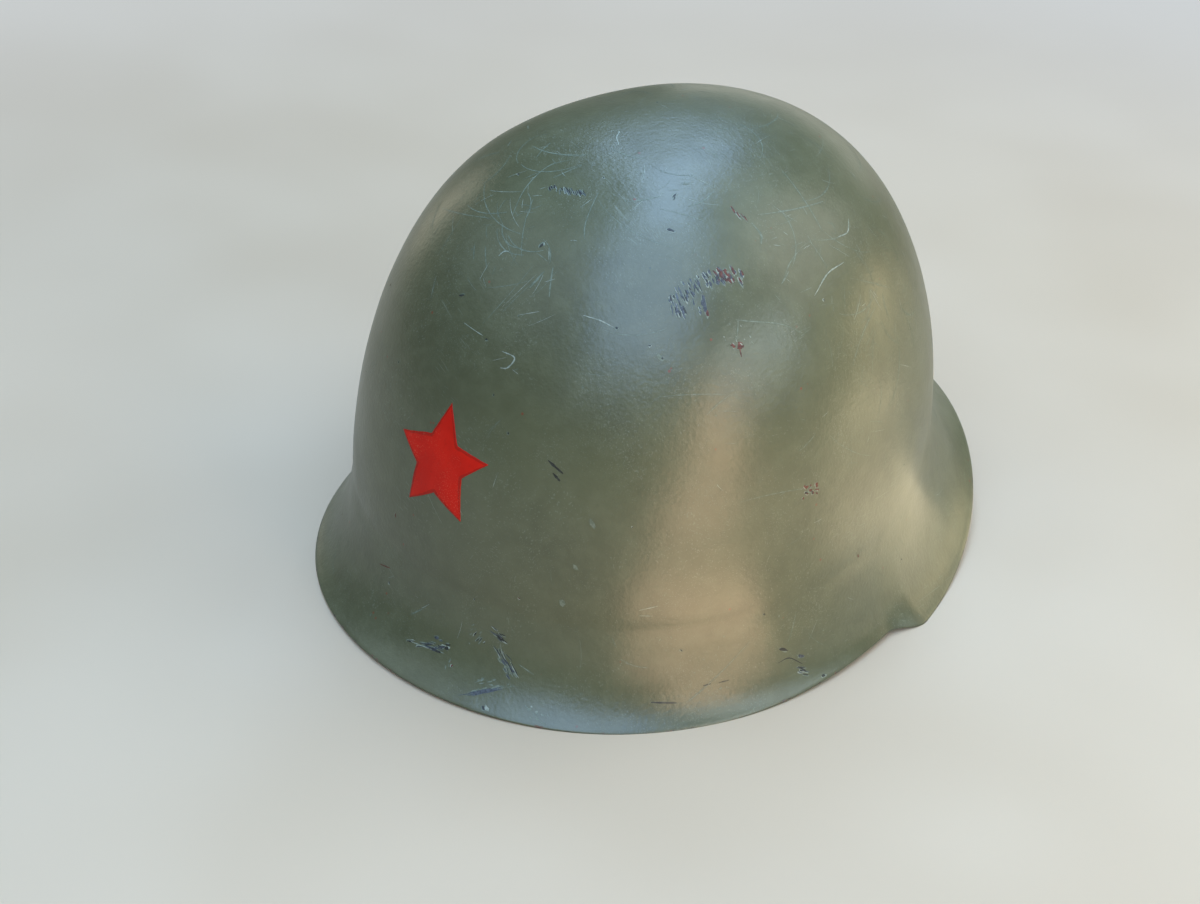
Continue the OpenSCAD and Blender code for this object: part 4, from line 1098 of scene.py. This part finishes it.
def tongue_face(middle, depth):
    """Grid of one face of a tongue, from the lace down to its foot on the sweatband."""
    rows = []
    for t in np.linspace(1, 0, TONGUE_ROWS):
        a = middle + tongue_half(t) * np.linspace(-1, 1, TONGUE_COLS)
        p = tongue_point(a, np.full(TONGUE_COLS, t), depth)
        sag = TONGUE_SAG * math.sin(math.pi * t) * lump(middle, t * 3, 0)
        rows.append(p - np.array([0, 0, abs(sag)]))
    for z in np.linspace(BAND_TOP - 2, TONGUE_FOOT, FOOT_ROWS):
        row = rows[-1].copy()
        row[:, 2] = z
        rows.append(row)
    return np.array(rows)


def sheet(top, under):
    """Points and faces of a thin sheet between two grids of the same size."""
    rows, cols = top.shape[:2]
    points = stand(np.concatenate([top.reshape(-1, 3), under.reshape(-1, 3)]))
    below = rows * cols
    faces = grid_faces(rows, cols, False)
    faces += [f[::-1] for f in grid_faces(rows, cols, False, start=below)]
    grid = np.arange(below).reshape(rows, cols)
    rim = np.concatenate([grid[0], grid[1:, -1], grid[-1, -2::-1], grid[-2:0:-1, 0]]).tolist()
    faces += [(b, a, a + below, b + below) for a, b in zip(rim, rim[1:] + rim[:1])]
    return points, faces


def on_lace(turn):
    """Frame on the lace at a turn about the crown, with its X outwards and its Z up."""
    middle = Matrix.Translation((0, LINER_Y, LACE_Z)) @ rotation(turn, "Z")
    return middle @ Matrix.Translation((LACE_R, 0, 0))


def make_tongue(i):
    middle = 360 / TONGUES * (i - 1)
    points, faces = sheet(tongue_face(middle, 0.0), tongue_face(middle, LEATHER_T))
    obj = new_object(f"tongue_{i}", points, faces, "helmet", "tongue_leather", [TONGUE])
    round_edges(obj, TONGUE_EDGE)
    settle(obj)
    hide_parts(f"crown_tongue_{i}")
    tip = tongue_point(np.array([middle]), np.array([1.0]), 0.0)[0]
    make_loop(i, math.degrees(math.atan2(tip[1] - LINER_Y, tip[0])))
    tongue_stitches(i, middle)


LOOP_SIDES, LOOP_EDGE = 36, 0.35


def make_loop(i, turn):
    """The tongue's end, folded round the lace."""
    place = on_lace(turn) @ rotation(90, "X")
    outline = rounded_box((LOOP_R, -LOOP_L / 2), (LOOP_R + LOOP_WALL, LOOP_L / 2), LOOP_EDGE, 3)
    points = []
    for t in turns(LOOP_SIDES):
        points += [place @ Vector((r * math.cos(t), r * math.sin(t), z)) for r, z in outline]
    points = stand(np.array([tuple(p) for p in points]))
    faces = grid_faces(LOOP_SIDES, len(outline), True, True)
    new_object(f"tongue_loop_{i}", points, faces, "helmet", "tongue_leather", [TONGUE])


FOLD_STITCHES, FOLD_REACH = (0.955, 0.925), 0.7
SIDE_STITCHES, SIDE_REACH = np.linspace(0.04, 0.86, 26), 0.9


def tongue_stitches(i, middle):
    """Two short rows across the fold and one along each side of the tongue."""
    rows = []
    for t in FOLD_STITCHES:
        for a in middle + tongue_half(t) * np.linspace(-FOLD_REACH, FOLD_REACH, 5):
            p = stand(tongue_point(np.array([a - 0.5, a, a + 0.5]), np.full(3, t), LEATHER_T))
            rows.append((p[1], p[2] - p[0], (0, 0, -1)))
    for side in (-SIDE_REACH, SIDE_REACH):
        for t in SIDE_STITCHES:
            ts = np.array([t - 0.01, t, t + 0.01])
            half = tongue_half(ts)
            p = stand(tongue_point(middle + half * side, ts, LEATHER_T))
            q = stand(tongue_point(middle + half[1:2] * side, ts[1:2], 0.0))[0]
            rows.append((p[1], p[2] - p[0], p[1] - q))
    stitches(f"tongue_stitches_{i}", rows, "helmet")


def ring_tube(centre, radius, sides):
    """Points and faces of a closed tube along centre points, in metres."""
    centre = np.asarray(centre, float)
    along = np.roll(centre, -1, axis=0) - np.roll(centre, 1, axis=0)
    along /= np.linalg.norm(along, axis=1, keepdims=True)
    up = np.cross(along, (0.3, 0.1, 0.95))
    up /= np.linalg.norm(up, axis=1, keepdims=True)
    side = np.cross(along, up)
    t = turns(sides)[:, None]
    rings = centre[:, None] + radius * (np.cos(t) * up[:, None] + np.sin(t) * side[:, None])
    return rings.reshape(-1, 3), grid_faces(len(centre), sides, True, True)


def joined(parts):
    """One set of points and faces from several."""
    points, faces, start = [], [], 0
    for p, f in parts:
        points.append(p)
        faces += [tuple(i + start for i in face) for face in f]
        start += len(p)
    return np.concatenate(points), faces


STRANDS, TWISTS, PER_TWIST = 3, 34, 14
STRAND_OFF, STRAND_R = 0.27 * LACE_D, 0.235 * LACE_D
KNOT_TURN, KNOT_R, KNOT_CORD_R, KNOT_DEPTH, KNOT_POINTS = 60, 0.598, 0.85, 1.05, 90


def lace_strand(k):
    """One strand of the laid lace, closed round the crown."""
    t = turns(TWISTS * PER_TWIST)
    turn = TWISTS * t + 2 * math.pi * k / STRANDS
    r = LACE_R + STRAND_OFF * np.cos(turn)
    p = np.stack([r * np.cos(t), LINER_Y + r * np.sin(t), LACE_Z + STRAND_OFF * np.sin(turn)], -1)
    return ring_tube(stand(p), STRAND_R * MM, 8)


def knot_strand():
    """An overhand knot round the lace, wound as a small trefoil."""
    place, points = on_lace(KNOT_TURN), []
    for t in turns(KNOT_POINTS):
        w = KNOT_R * (math.sin(t) + 2 * math.sin(2 * t))
        u = KNOT_R * (math.cos(t) - 2 * math.cos(2 * t))
        points.append(tuple(place @ Vector((w, -math.sin(3 * t) * KNOT_DEPTH, u))))
    return ring_tube(stand(np.array(points)), KNOT_CORD_R * MM, 10)


def make_lace():
    points, faces = joined([lace_strand(k) for k in range(STRANDS)] + [knot_strand()])
    obj = new_object("lace", points, faces, "helmet", "lace_cotton", [COTTON])
    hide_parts("crown_lace")


for name, node, start, end in (
        ("pad_forehead", "forehead_pad", -FRONT_BRACKET, FRONT_BRACKET),
        ("pad_nape", "nape_pad", REAR_BRACKET, 360 - REAR_BRACKET),
        ("pad_temple_left", "temple_pad_left", FRONT_BRACKET, REAR_BRACKET),
        ("pad_temple_right", "temple_pad_right", 360 - REAR_BRACKET, 360 - FRONT_BRACKET)):
    make_pad(name, node, start + PAD_CLEAR, end - PAD_CLEAR)
make_sweatband()
for number in range(1, TONGUES + 1):
    make_tongue(number)
make_lace()


# Chin strap: two leather halves, each one closed outline along its route

LEFT, RIGHT = 1, -1


def bend(start, r, turn):
    """Place and heading after an arc of radius r through turn degrees from a start."""
    x, y, heading = start
    h, end = math.radians(heading), math.radians(heading + turn)
    return (x - r * (math.cos(h) - math.cos(end)), y + r * (math.sin(end) - math.sin(h)), heading + turn)


def route(s, tail_r=None):
    """Place and heading at a length along a strap, seen from above."""
    start = bend((LUG_X, LUG_REACH, 0), BEND_R, math.degrees(min(s, SIDE_L) / BEND_R))
    rest = s - SIDE_L
    if rest <= 0:
        return start
    if tail_r:
        return bend(start, tail_r, math.degrees(rest / tail_r))
    h = math.radians(start[2])
    return (start[0] - rest * math.sin(h), start[1] + rest * math.cos(h), start[2])


def beside(s, d, tail_r=None):
    """Place at a length along a strap and a distance d from its middle."""
    x, y, h = route(s, tail_r)
    return (x + d * math.cos(math.radians(h)), y + d * math.sin(math.radians(h)))


def run(start, end, d, count, tail_r=None):
    return [beside(start + (end - start) * i / count, d, tail_r) for i in range(count + 1)]


def strap_place(side):
    """From a strap's own plane, in mm, to the row frame, in metres."""
    pivot = stand(np.array([0.0, 0.0, PIVOT_Z]))
    droop = LEFT_DROOP if side == LEFT else RIGHT_DROOP
    place = Matrix.Translation(pivot) @ rotation(-droop, "X") @ Matrix.Scale(MM, 4)
    return place if side == LEFT else place @ Matrix.Scale(-1, 4, (1, 0, 0))


def at_length(side, s, tail_r=None):
    """Frame at a length along a strap: X towards the shell, Y onwards, Z its width."""
    x, y, h = route(s, tail_r)
    return strap_place(side) @ Matrix.Translation((x, y, 0)) @ rotation(h, "Z")


EYE_R = BAR_BORE + STRAP_T
FACE = STRAP_T / 2
FOLD_FACE, FOLD_STEP = -1.5 * STRAP_T, 0.4
HALF_W = STRAP_W / 2
OUT_STEPS, IN_STEPS, ROOT_STEPS, END_STEPS = 26, 22, 6, 3
STRAP_SLICES, STRAP_EDGE, STRAP_SHARP = 8, 0.28, 50
STITCH_START, STITCH_EDGE, STITCH_LIFT = 23, 1.9, 0.05
STITCH_TO_BUCKLE, STITCH_TO_TIP = 19, 2


def eye_arc(s, start, end):
    """Arc round the bar at length s, from one heading to another, in degrees from the shell's side."""
    x, y, h = route(s)
    return arc(x, y, EYE_R, h + start, h + end, 10)


def root_parts():
    """Outline of the end at the lug, folded back round the lug's bar: outer and inner run."""
    outside = eye_arc(0, -180, 0) + run(ROOT_RUN, SIDE_L, FACE, OUT_STEPS)
    inside = run(SIDE_L, ROOT_FOLD, -FACE, IN_STEPS)
    return outside, inside + run(ROOT_FOLD - FOLD_STEP, ROOT_RUN, FOLD_FACE, ROOT_STEPS)


def extruded(outline, width, steps, place):
    """Points and faces of a flat outline pulled out by width along Z, in several slices."""
    points, count = [], len(outline)
    for z in np.linspace(-width / 2, width / 2, steps + 1):
        points += [tuple(place @ Vector((x, y, z))) for x, y in outline]
    return points, grid_faces(steps + 1, count) + end_faces(steps + 1, count)


def cutter(place, outline, depth):
    """A closed prism that cuts a hole: outline in the (across, width) plane, depth both ways."""
    points = [tuple(place @ Vector((d, y, z))) for d in (-depth, depth) for y, z in outline]
    faces = grid_faces(2, len(outline)) + end_faces(2, len(outline))
    obj = put_in_scene("cutter", new_mesh("cutter", points, faces))
    outwards(obj)
    return obj


def circle(r, count=20):
    return arc(0, 0, r, 0, 360, count)[:-1]


def cut_out(obj, cutters):
    """Cuts the cutters from a piece, then removes them."""
    for tool in cutters:
        mod = obj.modifiers.new("cut", "BOOLEAN")
        mod.operation, mod.solver, mod.object = "DIFFERENCE", "EXACT", tool
    bpy.context.view_layer.update()
    settle(obj)
    for tool in cutters:
        bpy.data.objects.remove(tool)


def bar_cutter(side, s):
    """The bore for a bar, along the strap's width."""
    return cutter(at_length(side, s) @ rotation(90, "Y"), circle(BAR_BORE, 28), STRAP_W)


def rivet_cutter(side, s):
    return cutter(at_length(side, s), circle(RIVET_BORE), 3 * STRAP_T)


def strap_piece(name, side, outline, cutters, body, node):
    """One strap half from its outline, with its holes cut and its edges rounded."""
    points, faces = extruded(outline, STRAP_W, STRAP_SLICES, strap_place(side))
    obj = new_object(name, points, faces, body, "strap_leather", [STRAP])
    cut_out(obj, cutters)
    round_edges(obj, STRAP_EDGE, STRAP_SHARP)
    settle(obj)
    obj.data.shade_smooth()
    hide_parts(node)


def strap_stitches(name, side, end, tail_r, body):
    """A row of stitches near each edge, on both faces of the leather, up to a length along the strap."""
    rows = []
    for i in range(int((end - STITCH_START) / STITCH_PITCH)):
        place = at_length(side, STITCH_START + (i + 0.5) * STITCH_PITCH, tail_r)
        turn = place.to_3x3()
        for z in (-HALF_W + STITCH_EDGE, HALF_W - STITCH_EDGE):
            for d in (FACE, -FACE):
                rows.append((place @ Vector((d, 0, z)), turn @ Vector((0, 1, 0)), turn @ Vector((d, 0, 0))))
    stitches(name, rows, body, STITCH_LIFT)


def make_left_strap():
    outside, inside = root_parts()
    end = [beside(BUCKLE_AT - END_RUN, FACE)] + eye_arc(BUCKLE_AT, 0, 180)
    back = run(BUCKLE_AT - END_RUN, BUCKLE_AT - END_FOLD, FOLD_FACE, END_STEPS)
    back += [beside(BUCKLE_AT - END_FOLD - FOLD_STEP, -FACE)]
    reach, half = 2 * EYE_R, SLOT_W / 2
    slot = [(-reach, -half), (reach, -half), (reach, half), (-reach, half)]
    cutters = [bar_cutter(LEFT, 0), bar_cutter(LEFT, BUCKLE_AT)]
    cutters += [rivet_cutter(LEFT, RIVET_AT), rivet_cutter(LEFT, BUCKLE_AT - RIVET_AT)]
    cutters += [cutter(at_length(LEFT, BUCKLE_AT), slot, EYE_R + 1)]
    strap_piece("strap_left", LEFT, outside + end + back + inside, cutters, "left_strap", "buckle_strap")
    strap_stitches("strap_left_stitches", LEFT, BUCKLE_AT - STITCH_TO_BUCKLE, None, "left_strap")


def tip_cutters():
    """Cut the two corners off the long strap's end, along a rounded point."""
    tip = at_length(RIGHT, HOLE_STRAP_L, TAIL_R)
    corner = [(-TIP_L, HALF_W + 1), (-TIP_L, HALF_W), (-TIP_L * 0.62, HALF_W * 0.83),
              (-TIP_L / 4, STRAP_W / 5), (0, 0), (TIP_L, 0), (TIP_L, HALF_W + 1)]
    return [cutter(tip, [(y, z * m) for y, z in corner], 4 * STRAP_T) for m in (1, -1)]


def make_right_strap():
    outside, inside = root_parts()
    out_tail = run(SIDE_L, HOLE_STRAP_L, FACE, OUT_STEPS, TAIL_R)[1:]
    back_tail = run(HOLE_STRAP_L, SIDE_L, -FACE, OUT_STEPS, TAIL_R)[:-1]
    cutters = [bar_cutter(RIGHT, 0), rivet_cutter(RIGHT, RIVET_AT)]
    for i in range(1, HOLE_COUNT + 1):
        place = at_length(RIGHT, HOLE_STRAP_L - TIP_L - HOLE_PITCH * i, TAIL_R)
        cutters.append(cutter(place, circle(HOLE_R, 24), 2 * STRAP_T))
    cutters += tip_cutters()
    outline = outside + out_tail + back_tail + inside
    strap_piece("strap_right", RIGHT, outline, cutters, "right_strap", "hole_strap")
    end = HOLE_STRAP_L - TIP_L - STITCH_TO_TIP
    strap_stitches("strap_right_stitches", RIGHT, end, TAIL_R, "right_strap")


KEEPER_SOFT, KEEPER_INNER_R, KEEPER_OUTER_R = 0.3, 0.6, 1.5
KEEPER_STITCHES = [(y, z) for y in (-1.6, 1.6) for z in (-3.2, 0, 3.2)]


def make_keeper():
    """The sliding leather loop, with its lapped ends stitched on the inner side."""
    place = at_length(LEFT, KEEPER_AT) @ Matrix.Translation((STRAP_T / 2, 0, 0))
    room_x, room_z = STRAP_T + KEEPER_GAP, HALF_W + KEEPER_GAP
    outer_x, outer_z = room_x + LEATHER_T, room_z + LEATHER_T
    inside = rounded_box((-room_x, -room_z), (room_x, room_z), KEEPER_INNER_R)
    outside = rounded_box((-outer_x, -outer_z), (outer_x, outer_z), KEEPER_OUTER_R)
    end, full, soft = KEEPER_L / 2, KEEPER_L / 2 - KEEPER_SOFT, KEEPER_SOFT
    rings = [(outside, -full, 0), (outside, -end, soft), (inside, -end, -soft), (inside, -full, 0),
             (inside, full, 0), (inside, end, -soft), (outside, end, soft), (outside, full, 0)]
    points = []
    for loop, y, shrink in rings:
        points += [tuple(place @ Vector((x, y, z))) for x, z in loop - np.sign(loop) * shrink]
    faces = grid_faces(len(rings), len(outside), True, True)
    obj = new_object("keeper", points, faces, "keeper", "strap_leather", [STRAP])
    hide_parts("strap_keeper")
    turn = place.to_3x3()
    along, up = turn @ Vector((0, 0, 1)), turn @ Vector((-1, 0, 0))
    rows = [(place @ Vector((-outer_x, y, z)), along, up) for y, z in KEEPER_STITCHES]
    stitches("keeper_stitches", rows, "keeper", STITCH_LIFT)


make_left_strap()
make_right_strap()
make_keeper()


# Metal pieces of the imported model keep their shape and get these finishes

METALS = {"bare_steel": STEEL, "liner_paint": LINER}
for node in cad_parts.values():
    for i, material in enumerate(node.data.materials):
        if material and material.name in METALS:
            node.data.materials[i] = METALS[material.name]


# Camera at the photograph's viewing angle

CAMERA_AT = Vector((392.199, -505.968, 448.762)) * MM
FORWARD = Vector((-0.535089, 0.641393, -0.549813))
ROLL = math.radians(4.33)
LENS, SENSOR = 58.38, 36
NEAREST, FARTHEST = 0.02, 50


def make_camera():
    data = bpy.data.cameras.new("camera")
    data.lens, data.sensor_width = LENS, SENSOR
    data.clip_start, data.clip_end = NEAREST, FARTHEST
    right = FORWARD.cross(Vector((0, 0, 1))).normalized()
    up = right.cross(FORWARD)
    turn = Matrix((right, up, -FORWARD)).transposed() @ Matrix.Rotation(ROLL, 3, "Z")
    camera = put_in_scene("camera", data)
    camera.matrix_world = Matrix.Translation(CAMERA_AT) @ turn.to_4x4()
    bpy.context.scene.camera = camera


# Floor and world, seen by the camera as one pale backdrop

FLOOR_COLOURS = (200, 182, 158), (192, 173, 148)
BACKDROP = (207, 212, 215)
FLOOR_HALF, FADE_FROM, FADE_TO = 3.0, 0.28, 0.85
WORLD_LIGHT, WORLD_STRENGTH = (255, 246, 230), 0.18


def make_floor():
    """A pale matt floor that fades, for the camera, into the backdrop."""
    f = Finish("floor", Specular_IOR_Level=0.2)
    colour = f.mix(f.cloud(220.0, 0.3, 0.7, detail=2.0), *FLOOR_COLOURS)
    f.dress(colour, f.cloud(90.0, 0.3, 0.7, 0.7, 0.8, 2.0))
    reach = f.add("VectorMath", {0: f.place}, "Value", operation="LENGTH")
    far = f.times(f.step(reach, FADE_FROM, FADE_TO), f.add("LightPath", {}, "Is Camera Ray"))
    glow = f.add("Emission", {0: BACKDROP})
    f.put(f.end.inputs[0], f.add("MixShader", {0: far, 1: f.shader.outputs[0], 2: glow}))
    corners = [(x * FLOOR_HALF, y * FLOOR_HALF, 0) for x, y in ((-1, -1), (1, -1), (1, 1), (-1, 1))]
    mesh = new_mesh("floor", corners, [range(4)])
    mesh.materials.append(f.material)
    floor = put_in_scene("floor", mesh)


def make_world():
    """Soft warm light from all round; the camera sees the floor's pale backdrop there."""
    world = bpy.data.worlds.new("studio")
    world.use_nodes = True
    tree = world.node_tree
    light, seen = tree.nodes["Background"], tree.nodes.new("ShaderNodeBackground")
    light.inputs[0].default_value = srgb(*WORLD_LIGHT)
    light.inputs[1].default_value = WORLD_STRENGTH
    seen.inputs[0].default_value = srgb(*BACKDROP)
    path, mix = tree.nodes.new("ShaderNodeLightPath"), tree.nodes.new("ShaderNodeMixShader")
    for i, socket in enumerate((path.outputs["Is Camera Ray"], light.outputs[0], seen.outputs[0])):
        tree.links.new(socket, mix.inputs[i])
    tree.links.new(mix.outputs[0], tree.nodes["World Output"].inputs["Surface"])
    bpy.context.scene.world = world


# Lamps: sizes and distances in metres, and the radiance of a lamp's face

MIDDLE = Vector((0, 0, 0.08))
PANEL_LIFT = 0.004
COOL, PALE_COOL, NEUTRAL = (0.42, 0.65, 1.0), (0.78, 0.94, 1.0), (1.0, 0.98, 0.9)
WARM, YELLOW, SUNNY = (1.0, 0.67, 0.42), (1.0, 0.82, 0.5), (1.0, 0.92, 0.72)


def area_lamp(name, width, length, radiance, colour, at, turn):
    """A rectangular lamp that the camera does not see."""
    data = bpy.data.lights.new(name, "AREA")
    data.shape = "RECTANGLE"
    data.size, data.size_y = width, length
    data.energy = radiance * math.pi * width * length
    data.color = colour
    lamp = put_in_scene(name, data)
    lamp.visible_camera = False
    lamp.matrix_world = Matrix.Translation(at) @ turn.to_4x4()


def softbox(name, azimuth, elevation, distance, width, height, radiance, colour):
    """A lamp seen from the helmet at an azimuth from the front towards its left, and an elevation."""
    a, e = math.radians(azimuth), math.radians(elevation)
    towards = Vector((math.sin(a) * math.cos(e), -math.cos(a) * math.cos(e), math.sin(e)))
    turn = towards.to_track_quat("Z", "Y").to_matrix()
    area_lamp(name, width, height, radiance, colour, MIDDLE + towards * distance, turn)


def floor_panel(name, x, y, azimuth, width, length, radiance, colour):
    """An upward lamp lying on the floor beside the helmet."""
    turn = Matrix.Rotation(math.radians(azimuth), 3, "Z") @ Matrix.Rotation(math.pi, 3, "X")
    area_lamp(name, width, length, radiance, colour, Vector((x, y, PANEL_LIFT)), turn)


make_camera()
make_floor()
make_world()
softbox("overhead", 38, 62, 1.15, 0.95, 1.6, 4.1, COOL)
softbox("overhead_rear", -142, 64, 1.15, 0.42, 1.0, 6.5, COOL)
softbox("sky_left", -42, 44, 1.5, 1.3, 0.9, 0.9, PALE_COOL)
softbox("cool_side", 96, 22, 1.0, 0.7, 0.28, 4.6, PALE_COOL)
softbox("sky_rear", 150, 57, 1.2, 1.3, 0.34, 1.5, PALE_COOL)
softbox("warm_side", 75, 6, 0.95, 0.26, 0.34, 7.4, WARM)
softbox("fill_rear", 145, 36, 1.2, 0.8, 0.65, 2.0, NEUTRAL)
softbox("yellow_side", 150, 3, 1.2, 0.5, 0.24, 3.6, YELLOW)
softbox("back_strip", -158, 5, 1.3, 0.9, 0.3, 1.0, NEUTRAL)
softbox("left_strip", -95, 8, 1.1, 0.24, 0.56, 1.6, SUNNY)
floor_panel("warm_near", 0.148, -0.099, 72, 0.1, 0.06, 4.6, WARM)
floor_panel("warm_far", 0.43, -0.195, 72, 0.16, 0.36, 6.2, WARM)
floor_panel("warm_wide", 0.44, 0.02, 95, 0.3, 0.5, 0.5, WARM)
floor_panel("yellow_near", 0.165, 0.095, 135, 0.12, 0.12, 1.6, YELLOW)
floor_panel("yellow_far", 0.40, 0.36, 140, 0.2, 0.42, 3.3, YELLOW)

bpy.context.scene.view_settings.view_transform = "Standard"
